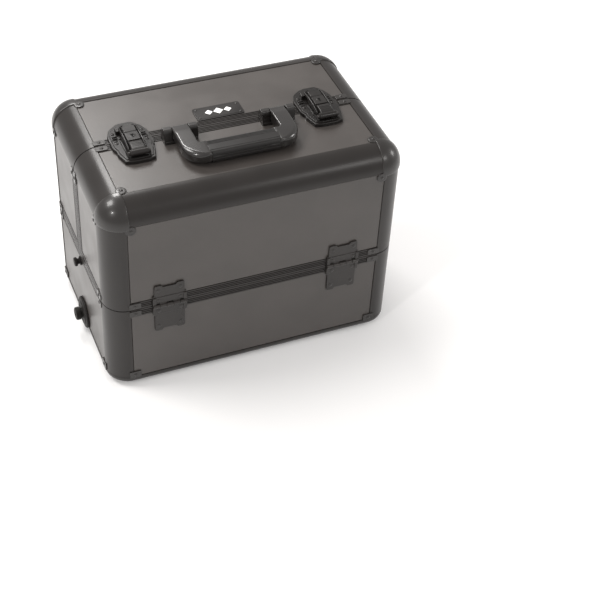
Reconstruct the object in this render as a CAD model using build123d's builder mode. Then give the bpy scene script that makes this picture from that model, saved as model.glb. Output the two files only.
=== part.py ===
from build123d import *
import math
import os

# Makeup train case: a lower box with two upper halves that open outwards on
# side hinges, and three cantilever trays in each half.
# Frame: origin at the middle of the footprint, +X along the case, -Y the front,
# +Z up. The modelled pose is the closed case. All sizes are in millimetres.

# Case body
LENGTH = 356.0
DEPTH = 230.0
HEIGHT = 266.0
SEAM_Z = 120.0
EDGE_RADIUS = 27.0
BOTTOM_RADIUS = 9.0
FOOT_HEIGHT = 3.0
WALL = 4.0
PANEL_THICKNESS = 3.4
PANEL_INSET = 0.6
JOINT_GAP = 0.1
SEAM_GAP = 0.3
RIM_WIDTH = 10.0
LID_RIM_THICKNESS = 6.0
BASE_RIM_THICKNESS = 6.6
BOTTOM_PROFILE_HEIGHT = 11.0

# Corner fittings
CAP_THICKNESS = 1.2
CAP_OVERLAP = 3.0
EAR_RADIUS = 6.0
EAR_INSET = 4.0
TAB_THICKNESS = 1.0
RIVET_RADIUS = 2.2
RIVET_HEIGHT = 1.0
TAB_LENGTH = 14.0
TAB_WIDTH = 8.0
BOTTOM_TAB_WIDTH = 10.0
BOTTOM_TAB_RISE = 4.0
TAB_INSET = 5.5
TAB_SETBACK = 5.0
BOTTOM_TAB_SETBACK = 2.0

# Side hinges
HINGE_X = 106.0
HINGE_LEAF_WIDTH = 40.0
HINGE_LEAF_THICKNESS = 1.5
HINGE_UPPER_LEAF_TOP = 149.0
HINGE_LOWER_LEAF_BOTTOM = 81.0
HINGE_AXIS_OFFSET = 2.5
KNUCKLE_RADIUS = 2.4
KNUCKLE_WIDTH = 8.0
KNUCKLE_GAP = 0.2
HINGE_PIN_RADIUS = 1.3
HINGE_LEAF_CLEARANCE = 3.0
HINGE_WEB_HEIGHT = 3.4
HINGE_RIVET_SPREAD = 13.0
UPPER_RIVET_RISE = (9.0, 22.0)
LOWER_RIVET_DROP = (12.0, 28.0)
RUNNING_CLEARANCE = 0.06

# Trays, three to each half, numbered from the bottom
TRAY_LENGTH = 320.0
TRAY_DEPTH = 87.0
TRAY_HEIGHT = 36.0
TRAY_PITCH = 39.0
TRAY_FIRST_Z = 129.0
TRAY_INNER_EDGE = (2.0, 10.0, 18.0)
TRAY_WALL = 2.2
TRAY_FLOOR = 2.0
TRAY_CORNER_RADIUS = 3.0
DIVIDER_X = (-64.0, 80.0)
DIVIDER_THICKNESS = 1.6
DIVIDER_HEIGHT = 31.0

# Parallel arms that carry the trays
ARM_LENGTH = 60.0
ARM_CLOSED_ANGLE = 116.2
ARM_WIDTH = 10.0
ARM_THICKNESS = 2.5
ARM_SPACING = 24.0
ARM_LAYER_X = (165.2, 161.0, 165.2)
UPPER_PIVOT_HEIGHT = 30.0
UPPER_PIVOT_Y = (10.0, 23.5, 37.5)
PIVOT_PIN_RADIUS = 2.44
OPEN_PIVOT_PIN_RADIUS = 2.2
PIVOT_HOLE_RADIUS = 2.5
PIVOT_HEAD_RADIUS = 4.0
PIVOT_HEAD_THICKNESS = 1.2

# Link brackets inside the base ends
BRACKET_X = 169.0
BRACKET_THICKNESS = 2.4
BRACKET_HALF_WIDTH = 86.0
BRACKET_BOTTOM = 94.0
BRACKET_TOP = 140.0
BRACKET_CHAMFER = 8.0

# Foam lining
FOAM_THICKNESS = 5.0
FOAM_FLOOR = 3.0
FOAM_SIDE_TOP = 109.0
FOAM_END_TOP = 92.0
FOAM_DIVIDER_X = 58.0
FOAM_DIVIDER_THICKNESS = 10.0
FOAM_DIVIDER_TOP = 101.0

# Latches
LATCH_X = 111.5
LATCH_PLATE_LENGTH = 43.0
LATCH_PLATE_WIDTH = 48.0
LATCH_PLATE_FRONT_WIDTH = 36.0
LATCH_PLATE_THICKNESS = 5.0
LATCH_PIVOT_Y = -35.5
LATCH_PIVOT_Z = 275.5
LATCH_PIN_RADIUS = 2.0
LATCH_EAR_THICKNESS = 3.0
LATCH_EAR_HALF_LENGTH = 5.0
LATCH_EAR_GAP = 0.4
LEVER_WIDTH = 21.5
LEVER_BARREL_RADIUS = 4.2
LEVER_BOTTOM = 272.0
LEVER_NOSE_BOTTOM = 275.5
LEVER_TOP = 280.0
LEVER_NOSE_Y = 15.0
LEVER_STEP_Y = -2.0
KEEPER_LENGTH = 31.0
KEEPER_WIDTH = 47.0
KEEPER_THICKNESS = 3.0
KEEPER_CORNER_RADIUS = 12.0
CATCH_Y = 9.5
CATCH_LENGTH = 5.0
CATCH_HALF_WIDTH = 9.0
CATCH_TOP = 275.0

# Nameplate
NAMEPLATE_Y = 22.6
NAMEPLATE_LENGTH = 57.0
NAMEPLATE_DEPTH = 24.0
NAMEPLATE_THICKNESS = 1.8
NAMEPLATE_CORNER_RADIUS = 4.0

# Carrying handle
HANDLE_PIVOT_Y = -13.0
HANDLE_PIVOT_Z = 276.0
HANDLE_LEG_X = 58.0
HANDLE_LEG_WIDTH = 19.4
HANDLE_REACH = 59.0
HANDLE_GRIP_DEPTH = 24.0
HANDLE_BOTTOM = 268.5
HANDLE_TOP = 283.5
HANDLE_PIN_RADIUS = 2.95
HANDLE_EYE_RADIUS = 6.5
HANDLE_CORNER_RADIUS = 20.0
HANDLE_INNER_CORNER_RADIUS = 7.0
EYE_RELIEF = 8.0
POST_WIDTH = 9.6
POST_GAP = 0.5
POST_BORE_CLEARANCE = 0.05
BRACKET_PLATE_THICKNESS = 3.0
BRACKET_PLATE_FRONT = 7.5
BRACKET_PLATE_BACK = 8.5
GRIP_HALF_LENGTH = 42.0
GRIP_CORE_INSET = 3.0
GRIP_CLEARANCE = 0.05
GRIP_EDGE_RADIUS = 2.5

# Studs on the base ends
STRAP_PLATE_RADIUS = 20.0
STRAP_PLATE_THICKNESS = 4.0
STRAP_BOSS_RADIUS = 10.5
STRAP_KNOB_RADIUS = 8.0
STRAP_KNOB_LENGTH = 8.0
STRAP_STUD_Z = 25.0
BUMPER_RADIUS = 5.5
BUMPER_LENGTH = 8.0
BUMPER_Z = 107.5

# Feet
FOOT_RADIUS = 9.0
FOOT_X = 142.0
FOOT_Y = 80.0

# Sizes that follow from those above
HALF_X = LENGTH / 2
HALF_Y = DEPTH / 2
CORE_X = HALF_X - EDGE_RADIUS
CORE_Y = HALF_Y - EDGE_RADIUS
CORE_Z = HEIGHT - EDGE_RADIUS
CAP_X = CORE_X - CAP_OVERLAP
CAP_Y = CORE_Y - CAP_OVERLAP
CAP_Z = CORE_Z - CAP_OVERLAP
LID_BOTTOM = SEAM_Z + SEAM_GAP / 2
BASE_TOP = SEAM_Z - SEAM_GAP / 2
LID_RIM_TOP = SEAM_Z + RIM_WIDTH
BASE_RIM_BOTTOM = SEAM_Z - RIM_WIDTH
BOTTOM_PROFILE_TOP = FOOT_HEIGHT + BOTTOM_PROFILE_HEIGHT
HINGE_AXIS_Y = HALF_Y + HINGE_AXIS_OFFSET
PANEL_FACE_X = HALF_X - PANEL_INSET
PANEL_FACE_Y = HALF_Y - PANEL_INSET
PANEL_FACE_Z = HEIGHT - PANEL_INSET
HINGE_UPPER_RIVETS = tuple(SEAM_Z + rise for rise in UPPER_RIVET_RISE)
HINGE_LOWER_RIVETS = tuple(SEAM_Z - drop for drop in LOWER_RIVET_DROP)
UPPER_KNUCKLES = (-KNUCKLE_WIDTH, KNUCKLE_WIDTH)
LOWER_KNUCKLES = (-2 * KNUCKLE_WIDTH, 0, 2 * KNUCKLE_WIDTH)
FOAM_FLOOR_BOTTOM = FOOT_HEIGHT + WALL
FOAM_FLOOR_TOP = FOAM_FLOOR_BOTTOM + FOAM_FLOOR
FOAM_OUTER_X = HALF_X - WALL
FOAM_OUTER_Y = HALF_Y - WALL
FOAM_INNER_X = FOAM_OUTER_X - FOAM_THICKNESS
FOAM_INNER_Y = FOAM_OUTER_Y - FOAM_THICKNESS
LATCH_EAR_INNER = LEVER_WIDTH / 2 + LATCH_EAR_GAP
HANDLE_EYE_BORE = HANDLE_PIN_RADIUS + RUNNING_CLEARANCE
HANDLE_FRONT = HANDLE_PIVOT_Y - HANDLE_REACH
HANDLE_GRIP_BACK = HANDLE_FRONT + HANDLE_GRIP_DEPTH
HANDLE_HALF_WIDTH = HANDLE_LEG_X + HANDLE_LEG_WIDTH / 2
HANDLE_INNER_HALF = HANDLE_LEG_X - HANDLE_LEG_WIDTH / 2
ARM_LEAN = -ARM_LENGTH * math.cos(math.radians(ARM_CLOSED_ANGLE))
ARM_RISE = ARM_LENGTH * math.sin(math.radians(ARM_CLOSED_ANGLE))
FRONT = -1
BACK = 1
SIDES = {"front": FRONT, "back": BACK}
ENDS = (-1, 1)

os.makedirs("parts", exist_ok=True)


def save(piece, name):
    piece.part.label = name
    export_step(piece.part, f"parts/{name}.step")


def block(x_range, y_range, z_range, mode=Mode.ADD):
    """A box between two values on each axis, added to the open builder."""
    ranges = (x_range, y_range, z_range)
    middle = tuple((low + high) / 2 for low, high in ranges)
    size = tuple(abs(high - low) for low, high in ranges)
    with Locations(middle):
        Box(*size, mode=mode)


def span(sign, low, high):
    return (sign * low, sign * high)


def peg(x_start, x_end, y, z, radius, mode=Mode.ADD):
    """A round pin along X, added to the open builder."""
    with Locations(((x_start + x_end) / 2, y, z)):
        Cylinder(radius, abs(x_end - x_start), rotation=(0, 90, 0), mode=mode)


def rounded_body(grow, bottom, bottom_radius):
    """The case's outside, moved outwards by grow."""
    radius = EDGE_RADIUS + grow
    top = HEIGHT + grow
    with BuildPart() as body:
        block((-HALF_X - grow, HALF_X + grow), (-HALF_Y - grow, HALF_Y + grow), (bottom, top))
        upright = body.edges().filter_by(Axis.Z)
        upper = body.edges().group_by(Axis.Z)[-1]
        fillet(upright + upper, radius=radius)
        if bottom_radius > 0:
            fillet(body.edges().group_by(Axis.Z)[0], radius=bottom_radius)
    return body.part


outside = rounded_body(0, FOOT_HEIGHT, BOTTOM_RADIUS)
inside = rounded_body(-WALL, FOOT_HEIGHT + WALL, 0)
cap_outside = rounded_body(CAP_THICKNESS, FOOT_HEIGHT, BOTTOM_RADIUS)

with BuildPart() as body_shell:
    add(outside)
    add(inside, mode=Mode.SUBTRACT)

with BuildPart() as cap_shell:
    add(cap_outside)
    add(outside, mode=Mode.SUBTRACT)


def cut_from(shell, regions):
    """The material of a shell that lies inside the regions."""
    with BuildPart() as piece:
        add(shell)
        add(regions.part, mode=Mode.INTERSECT)
    return piece


# Upper halves -----------------------------------------------------------------


def lid_top_panel(side):
    with BuildPart() as panel:
        block(
            span(1, -CORE_X + JOINT_GAP, CORE_X - JOINT_GAP),
            span(side, RIM_WIDTH + JOINT_GAP, CORE_Y - JOINT_GAP),
            (PANEL_FACE_Z - PANEL_THICKNESS, PANEL_FACE_Z),
        )
    return panel


def lid_face_panel(side):
    with BuildPart() as panel:
        block(
            span(1, -CORE_X + JOINT_GAP, CORE_X - JOINT_GAP),
            span(side, PANEL_FACE_Y - PANEL_THICKNESS, PANEL_FACE_Y),
            (LID_RIM_TOP + JOINT_GAP, CORE_Z - JOINT_GAP),
        )
    return panel


def lid_end_panels(side):
    with BuildPart() as panels:
        for end in ENDS:
            block(
                span(end, PANEL_FACE_X - PANEL_THICKNESS, PANEL_FACE_X),
                span(side, RIM_WIDTH + JOINT_GAP, CORE_Y - JOINT_GAP),
                (LID_RIM_TOP + JOINT_GAP, CORE_Z - JOINT_GAP),
            )
    return panels


def lid_edge_profiles(side):
    """Rounded edge profiles: one along the top, two end tops, two uprights."""
    with BuildPart() as regions:
        block((-CORE_X + JOINT_GAP, CORE_X - JOINT_GAP), span(side, CORE_Y, HALF_Y), (CORE_Z, HEIGHT))
        for end in ENDS:
            block(span(end, CORE_X, HALF_X), span(side, SEAM_GAP, CORE_Y - JOINT_GAP), (CORE_Z, HEIGHT))
            block(span(end, CORE_X, HALF_X), span(side, CORE_Y, HALF_Y), (LID_BOTTOM, CORE_Z - JOINT_GAP))
    return cut_from(body_shell.part, regions)


def lid_rim_profiles(side):
    """The flat profiles along the half's seam and its split, between the round edges."""
    with BuildPart() as rims:
        x_range = (-CORE_X + JOINT_GAP, CORE_X - JOINT_GAP)
        y_range = span(side, RIM_WIDTH + JOINT_GAP, CORE_Y - JOINT_GAP)
        block(x_range, span(side, HALF_Y - LID_RIM_THICKNESS, HALF_Y), (LID_BOTTOM, LID_RIM_TOP))
        block(x_range, span(side, SEAM_GAP, RIM_WIDTH), (HEIGHT - LID_RIM_THICKNESS, HEIGHT))
        for end in ENDS:
            thickness = span(end, HALF_X - LID_RIM_THICKNESS, HALF_X)
            block(thickness, y_range, (LID_BOTTOM, LID_RIM_TOP))
            block(thickness, span(side, SEAM_GAP, RIM_WIDTH), (LID_BOTTOM, CORE_Z - JOINT_GAP))
    return rims


def top_tab(x, y, length, width):
    """A riveted tab on the top of the case, in the open part."""
    block((x - length / 2, x + length / 2), (y - width / 2, y + width / 2), (HEIGHT, HEIGHT + TAB_THICKNESS))
    with Locations((x, y, HEIGHT + TAB_THICKNESS + RIVET_HEIGHT / 2)):
        Cylinder(RIVET_RADIUS, RIVET_HEIGHT)


def face_tab(side, x, z, length, width):
    """A riveted tab on the front or back face, in the open part."""
    outer = HALF_Y + TAB_THICKNESS
    block((x - length / 2, x + length / 2), span(side, HALF_Y, outer), (z - width / 2, z + width / 2))
    with Locations((x, side * (outer + RIVET_HEIGHT / 2), z)):
        Cylinder(RIVET_RADIUS, RIVET_HEIGHT, rotation=(90, 0, 0))


def end_tab(end, y, z, length, width):
    """A riveted tab on an end face, in the open part."""
    outer = HALF_X + TAB_THICKNESS
    block(span(end, HALF_X, outer), (y - length / 2, y + length / 2), (z - width / 2, z + width / 2))
    with Locations((end * (outer + RIVET_HEIGHT / 2), y, z)):
        Cylinder(RIVET_RADIUS, RIVET_HEIGHT, rotation=(0, 90, 0))


def cap_ears(end, side):
    """The three riveted ears of a ball corner, in the open part."""
    x = end * (CORE_X - EAR_INSET)
    y = side * (CORE_Y - EAR_INSET)
    z = CORE_Z - EAR_INSET
    middle = CAP_THICKNESS / 2
    upright = (0, 0, 0)
    along_y = (90, 0, 0)
    along_x = (0, 90, 0)
    ears = (
        ((x, y, HEIGHT + middle), (0, 0, 1), upright),
        ((x, side * (HALF_Y + middle), z), (0, side, 0), along_y),
        ((end * (HALF_X + middle), y, z), (end, 0, 0), along_x),
    )
    for centre, outwards, turn in ears:
        with Locations(centre):
            Cylinder(EAR_RADIUS, CAP_THICKNESS, rotation=turn)
        rivet_offset = middle + RIVET_HEIGHT / 2
        rivet = tuple(c + rivet_offset * d for c, d in zip(centre, outwards))
        with Locations(rivet):
            Cylinder(RIVET_RADIUS, RIVET_HEIGHT, rotation=turn)


def lid_corner_fittings(side):
    """Ball corners with riveted ears on three faces, and the small riveted tabs."""
    with BuildPart() as corner_blocks:
        for end in ENDS:
            block(
                span(end, CORE_X, HALF_X + CAP_THICKNESS),
                span(side, CORE_Y, HALF_Y + CAP_THICKNESS),
                (CORE_Z, HEIGHT + CAP_THICKNESS),
            )
    with BuildPart() as cap_regions:
        for end in ENDS:
            block(
                span(end, CAP_X, HALF_X + CAP_THICKNESS),
                span(side, CAP_Y, HALF_Y + CAP_THICKNESS),
                (CAP_Z, HEIGHT + CAP_THICKNESS),
            )
    cap_skins = cut_from(cap_shell.part, cap_regions)
    with BuildPart() as fittings:
        add(body_shell.part)
        add(corner_blocks.part, mode=Mode.INTERSECT)
        add(cap_skins.part)
        for end in ENDS:
            cap_ears(end, side)
        for end in ENDS:
            top_tab(end * (CORE_X - TAB_SETBACK), side * TAB_INSET, TAB_LENGTH, TAB_WIDTH)
            end_tab(end, side * TAB_INSET, CORE_Z - TAB_SETBACK, TAB_WIDTH, TAB_LENGTH)
            end_tab(end, side * (CORE_Y - TAB_SETBACK), LID_BOTTOM + TAB_INSET, TAB_LENGTH, TAB_WIDTH)
            face_tab(side, end * (CORE_X - TAB_SETBACK), LID_BOTTOM + TAB_INSET, TAB_LENGTH, TAB_WIDTH)
    return fittings


# Hinges: two on each long side, shared by the base and an upper half --------------


def leaf_rivets(side, x, z_values):
    for z in z_values:
        for across in (-1, 1):
            head_y = side * (HALF_Y + HINGE_LEAF_THICKNESS + RIVET_HEIGHT / 2)
            place = (x + across * HINGE_RIVET_SPREAD, head_y, z)
            with Locations(place):
                Cylinder(RIVET_RADIUS, RIVET_HEIGHT, rotation=(90, 0, 0))


def knuckles(side, x, centres, z_range, hole_radius):
    """Barrel knuckles about the hinge axis, with the webs that join them to the leaf."""
    axis_y = side * HINGE_AXIS_Y
    for centre in centres:
        start = x + centre - KNUCKLE_WIDTH / 2 + KNUCKLE_GAP / 2
        end = x + centre + KNUCKLE_WIDTH / 2 - KNUCKLE_GAP / 2
        block((start, end), (axis_y, axis_y - side * KNUCKLE_RADIUS), z_range)
        peg(start, end, axis_y, SEAM_Z, KNUCKLE_RADIUS)
        peg(start, end, axis_y, SEAM_Z, hole_radius, mode=Mode.SUBTRACT)


def hinge_leaf(side, x, z_range, knuckle_centres, web_range, hole_radius, rivet_z):
    half = HINGE_LEAF_WIDTH / 2
    block((x - half, x + half), span(side, HALF_Y, HALF_Y + HINGE_LEAF_THICKNESS), z_range)
    leaf_rivets(side, x, rivet_z)
    knuckles(side, x, knuckle_centres, web_range, hole_radius)


def lid_hinge_leaves(side):
    with BuildPart() as leaves:
        for end in ENDS:
            hinge_leaf(
                side,
                end * HINGE_X,
                (SEAM_Z + HINGE_LEAF_CLEARANCE, HINGE_UPPER_LEAF_TOP),
                UPPER_KNUCKLES,
                (SEAM_Z, SEAM_Z + HINGE_WEB_HEIGHT),
                HINGE_PIN_RADIUS + RUNNING_CLEARANCE,
                HINGE_UPPER_RIVETS,
            )
    return leaves


with BuildPart() as base_hinge_leaves:
    for side in SIDES.values():
        for end in ENDS:
            hinge_leaf(
                side,
                end * HINGE_X,
                (HINGE_LOWER_LEAF_BOTTOM, SEAM_Z - HINGE_LEAF_CLEARANCE),
                LOWER_KNUCKLES,
                (SEAM_Z - HINGE_WEB_HEIGHT, SEAM_Z),
                HINGE_PIN_RADIUS,
                HINGE_LOWER_RIVETS,
            )
save(base_hinge_leaves, "base_hinge_leaves")

with BuildPart() as hinge_pins:
    half_pin = 2.5 * KNUCKLE_WIDTH
    for side in SIDES.values():
        for end in ENDS:
            start = end * HINGE_X - half_pin
            peg(start, start + 2 * half_pin, side * HINGE_AXIS_Y, SEAM_Z, HINGE_PIN_RADIUS)
save(hinge_pins, "hinge_pins")

for name, side in SIDES.items():
    save(lid_top_panel(side), f"{name}_lid_top_panel")
    save(lid_face_panel(side), f"{name}_lid_face_panel")
    save(lid_end_panels(side), f"{name}_lid_end_panels")
    save(lid_edge_profiles(side), f"{name}_lid_edge_profiles")
    save(lid_rim_profiles(side), f"{name}_lid_rim_profiles")
    save(lid_corner_fittings(side), f"{name}_lid_corner_fittings")
    save(lid_hinge_leaves(side), f"{name}_lid_hinge_leaves")

# Base box ------------------------------------------------------------------------

with BuildPart() as base_side_panels:
    for side in SIDES.values():
        block(
            (-CORE_X + JOINT_GAP, CORE_X - JOINT_GAP),
            span(side, PANEL_FACE_Y - PANEL_THICKNESS, PANEL_FACE_Y),
            (BOTTOM_PROFILE_TOP + JOINT_GAP, BASE_RIM_BOTTOM - JOINT_GAP),
        )
save(base_side_panels, "base_side_panels")

with BuildPart() as base_end_panels:
    for end in ENDS:
        block(
            span(end, PANEL_FACE_X - PANEL_THICKNESS, PANEL_FACE_X),
            (-CORE_Y + JOINT_GAP, CORE_Y - JOINT_GAP),
            (BOTTOM_PROFILE_TOP + JOINT_GAP, BASE_RIM_BOTTOM - JOINT_GAP),
        )
save(base_end_panels, "base_end_panels")

with BuildPart() as base_floor_panel:
    block(
        (-CORE_X + JOINT_GAP, CORE_X - JOINT_GAP),
        (-CORE_Y + JOINT_GAP, CORE_Y - JOINT_GAP),
        (FOOT_HEIGHT + PANEL_INSET, FOOT_HEIGHT + WALL),
    )
save(base_floor_panel, "base_floor_panel")

with BuildPart() as upright_regions:
    for end in ENDS:
        for side in SIDES.values():
            block(
                span(end, CORE_X, HALF_X),
                span(side, CORE_Y, HALF_Y),
                (BOTTOM_PROFILE_TOP + JOINT_GAP, BASE_TOP),
            )
base_corner_profiles = cut_from(body_shell.part, upright_regions)
save(base_corner_profiles, "base_corner_profiles")

with BuildPart() as bottom_regions:
    for side in SIDES.values():
        block(
            (-CORE_X + JOINT_GAP, CORE_X - JOINT_GAP),
            span(side, CORE_Y, HALF_Y),
            (FOOT_HEIGHT, BOTTOM_PROFILE_TOP),
        )
    for end in ENDS:
        block(
            span(end, CORE_X, HALF_X),
            (-CORE_Y + JOINT_GAP, CORE_Y - JOINT_GAP),
            (FOOT_HEIGHT, BOTTOM_PROFILE_TOP),
        )
        for side in SIDES.values():
            block(span(end, CORE_X, HALF_X), span(side, CORE_Y, HALF_Y), (FOOT_HEIGHT, BOTTOM_PROFILE_TOP))
base_bottom_profiles = cut_from(body_shell.part, bottom_regions)
save(base_bottom_profiles, "base_bottom_profiles")

with BuildPart() as base_rim_profiles:
    heights = (BASE_RIM_BOTTOM, BASE_TOP)
    for side in SIDES.values():
        x_range = (-CORE_X + JOINT_GAP, CORE_X - JOINT_GAP)
        block(x_range, span(side, HALF_Y - BASE_RIM_THICKNESS, HALF_Y), heights)
    for end in ENDS:
        y_range = (-CORE_Y + JOINT_GAP, CORE_Y - JOINT_GAP)
        block(span(end, HALF_X - BASE_RIM_THICKNESS, HALF_X), y_range, heights)
save(base_rim_profiles, "base_rim_profiles")

with BuildPart() as base_corner_tabs:
    upper_z = BASE_TOP - TAB_INSET
    lower_z = BOTTOM_PROFILE_TOP + BOTTOM_TAB_RISE
    for end in ENDS:
        for side in SIDES.values():
            face_tab(side, end * (CORE_X - TAB_SETBACK), upper_z, TAB_LENGTH, TAB_WIDTH)
            end_tab(end, side * (CORE_Y - TAB_SETBACK), upper_z, TAB_LENGTH, TAB_WIDTH)
            face_tab(side, end * (CORE_X - BOTTOM_TAB_SETBACK), lower_z, TAB_LENGTH, BOTTOM_TAB_WIDTH)
            end_tab(end, side * (CORE_Y - BOTTOM_TAB_SETBACK), lower_z, TAB_LENGTH, BOTTOM_TAB_WIDTH)
save(base_corner_tabs, "base_corner_tabs")

with BuildPart() as base_feet:
    for end in ENDS:
        for side in SIDES.values():
            with Locations((end * FOOT_X, side * FOOT_Y, FOOT_HEIGHT / 2)):
                Cylinder(FOOT_RADIUS, FOOT_HEIGHT)
save(base_feet, "base_feet")

with BuildPart() as strap_and_bumper_studs:
    for end in ENDS:
        plate_face = HALF_X + STRAP_PLATE_THICKNESS
        peg(end * PANEL_FACE_X, end * HALF_X, 0, STRAP_STUD_Z, STRAP_BOSS_RADIUS)
        peg(end * HALF_X, end * plate_face, 0, STRAP_STUD_Z, STRAP_PLATE_RADIUS)
        peg(end * plate_face, end * (plate_face + STRAP_KNOB_LENGTH), 0, STRAP_STUD_Z, STRAP_KNOB_RADIUS)
        peg(end * HALF_X, end * (HALF_X + BUMPER_LENGTH), 0, BUMPER_Z, BUMPER_RADIUS)
save(strap_and_bumper_studs, "strap_and_bumper_studs")

# Foam lining -----------------------------------------------------------------------

with BuildPart() as foam_liner:
    with BuildSketch(Plane.XY.offset(FOAM_FLOOR_BOTTOM)):
        width = 2 * (FOAM_INNER_X - JOINT_GAP)
        RectangleRounded(width, 2 * (FOAM_INNER_Y - JOINT_GAP), EDGE_RADIUS - WALL - JOINT_GAP)
    extrude(amount=FOAM_FLOOR)
    for side in SIDES.values():
        block(
            (-CORE_X, CORE_X),
            span(side, FOAM_INNER_Y, FOAM_OUTER_Y - JOINT_GAP),
            (FOAM_FLOOR_BOTTOM, FOAM_SIDE_TOP),
        )
    for end in ENDS:
        block(
            span(end, FOAM_INNER_X, FOAM_OUTER_X - JOINT_GAP),
            (-CORE_Y, CORE_Y),
            (FOAM_FLOOR_BOTTOM, FOAM_END_TOP),
        )
save(foam_liner, "foam_liner")

with BuildPart() as foam_dividers:
    for end in ENDS:
        inner = FOAM_DIVIDER_X - FOAM_DIVIDER_THICKNESS / 2
        block(
            span(end, inner, inner + FOAM_DIVIDER_THICKNESS),
            (-FOAM_INNER_Y + JOINT_GAP, FOAM_INNER_Y - JOINT_GAP),
            (FOAM_FLOOR_TOP, FOAM_DIVIDER_TOP),
        )
save(foam_dividers, "foam_dividers")

# Trays and the parallel arms that carry them ------------------------------------------


def tray_bottom(level):
    return TRAY_FIRST_Z + level * TRAY_PITCH


def upper_pivots(level):
    """Arm pivots on the tray that the arms carry, as distances from the middle."""
    height = tray_bottom(level) + UPPER_PIVOT_HEIGHT
    return [(UPPER_PIVOT_Y[level] + n * ARM_SPACING, height) for n in (0, 1)]


def lower_pivots(level):
    """Arm pivots on the bracket or tray below."""
    return [(y + ARM_LEAN, z - ARM_RISE) for y, z in upper_pivots(level)]


def tray(side, level):
    inner = TRAY_INNER_EDGE[level]
    outer = inner + TRAY_DEPTH
    bottom = tray_bottom(level)
    half = TRAY_LENGTH / 2
    with BuildPart() as tub:
        block((-half, half), span(side, inner, outer), (bottom, bottom + TRAY_HEIGHT))
        fillet(tub.edges().filter_by(Axis.Z), radius=TRAY_CORNER_RADIUS)
        block(
            (-half + TRAY_WALL, half - TRAY_WALL),
            span(side, inner + TRAY_WALL, outer - TRAY_WALL),
            (bottom + TRAY_FLOOR, bottom + TRAY_HEIGHT),
            mode=Mode.SUBTRACT,
        )
        holes = upper_pivots(level)
        if level + 1 < len(TRAY_INNER_EDGE):
            holes = holes + lower_pivots(level + 1)
        for y, z in holes:
            for end in ENDS:
                peg(
                    end * (half - TRAY_WALL),
                    end * half,
                    side * y,
                    z,
                    PIVOT_HOLE_RADIUS,
                    mode=Mode.SUBTRACT,
                )
    return tub


def tray_dividers(side, level):
    inner = TRAY_INNER_EDGE[level] + TRAY_WALL + JOINT_GAP
    outer = TRAY_INNER_EDGE[level] + TRAY_DEPTH - TRAY_WALL - JOINT_GAP
    floor = tray_bottom(level) + TRAY_FLOOR
    with BuildPart() as dividers:
        for x in DIVIDER_X:
            block(
                (x - DIVIDER_THICKNESS / 2, x + DIVIDER_THICKNESS / 2),
                span(side, inner, outer),
                (floor, floor + DIVIDER_HEIGHT),
            )
    return dividers


def tray_pivot(layer_x, y, z, radius):
    """A pin from an arm into a tray's end wall, with a head inside the tray."""
    head_outer = TRAY_LENGTH / 2 - TRAY_WALL - JOINT_GAP
    peg(head_outer, layer_x, y, z, radius)
    peg(head_outer - PIVOT_HEAD_THICKNESS, head_outer, y, z, PIVOT_HEAD_RADIUS)


def link_arms(side, level, which):
    """One arm at each end of the case; which is 0 for the inner pair, 1 for the outer."""
    upper_y, upper_z = upper_pivots(level)[which]
    lower_y, lower_z = lower_pivots(level)[which]
    layer_x = ARM_LAYER_X[level]
    outer_face = layer_x + ARM_THICKNESS
    upper_radius = PIVOT_PIN_RADIUS if which == 0 else OPEN_PIVOT_PIN_RADIUS
    tilt = math.degrees(math.atan2(upper_z - lower_z, side * (upper_y - lower_y)))
    middle = (side * (upper_y + lower_y) / 2, (upper_z + lower_z) / 2)
    with BuildPart() as arms:
        with BuildSketch(Plane.YZ.offset(layer_x)):
            with Locations(middle):
                SlotCenterToCenter(ARM_LENGTH, ARM_WIDTH, rotation=tilt)
        extrude(amount=ARM_THICKNESS)
        tray_pivot(layer_x, side * upper_y, upper_z, upper_radius)
        if level == 0:
            bracket_face = BRACKET_X + BRACKET_THICKNESS
            peg(outer_face, bracket_face, side * lower_y, lower_z, PIVOT_PIN_RADIUS)
        else:
            tray_pivot(layer_x, side * lower_y, lower_z, PIVOT_PIN_RADIUS)
        mirror(about=Plane.YZ)
    return arms


for name, side in SIDES.items():
    for level in range(len(TRAY_INNER_EDGE)):
        number = level + 1
        save(tray(side, level), f"{name}_tray_{number}")
        save(tray_dividers(side, level), f"{name}_tray_{number}_dividers")
        save(link_arms(side, level, 0), f"{name}_tray_{number}_inner_arms")
        save(link_arms(side, level, 1), f"{name}_tray_{number}_outer_arms")

with BuildPart() as link_brackets:
    for end in ENDS:
        block(
            span(end, BRACKET_X, BRACKET_X + BRACKET_THICKNESS),
            (-BRACKET_HALF_WIDTH, BRACKET_HALF_WIDTH),
            (BRACKET_BOTTOM, BRACKET_TOP),
        )
    chamfer(link_brackets.edges().filter_by(Axis.X), length=BRACKET_CHAMFER)
    for end in ENDS:
        for side in SIDES.values():
            for y, z in lower_pivots(0):
                peg(
                    end * BRACKET_X,
                    end * (BRACKET_X + BRACKET_THICKNESS),
                    side * y,
                    z,
                    PIVOT_HOLE_RADIUS,
                    mode=Mode.SUBTRACT,
                )
save(link_brackets, "link_brackets")

# Latches: base plates and levers on the front half, keepers on the back half ----------

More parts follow.
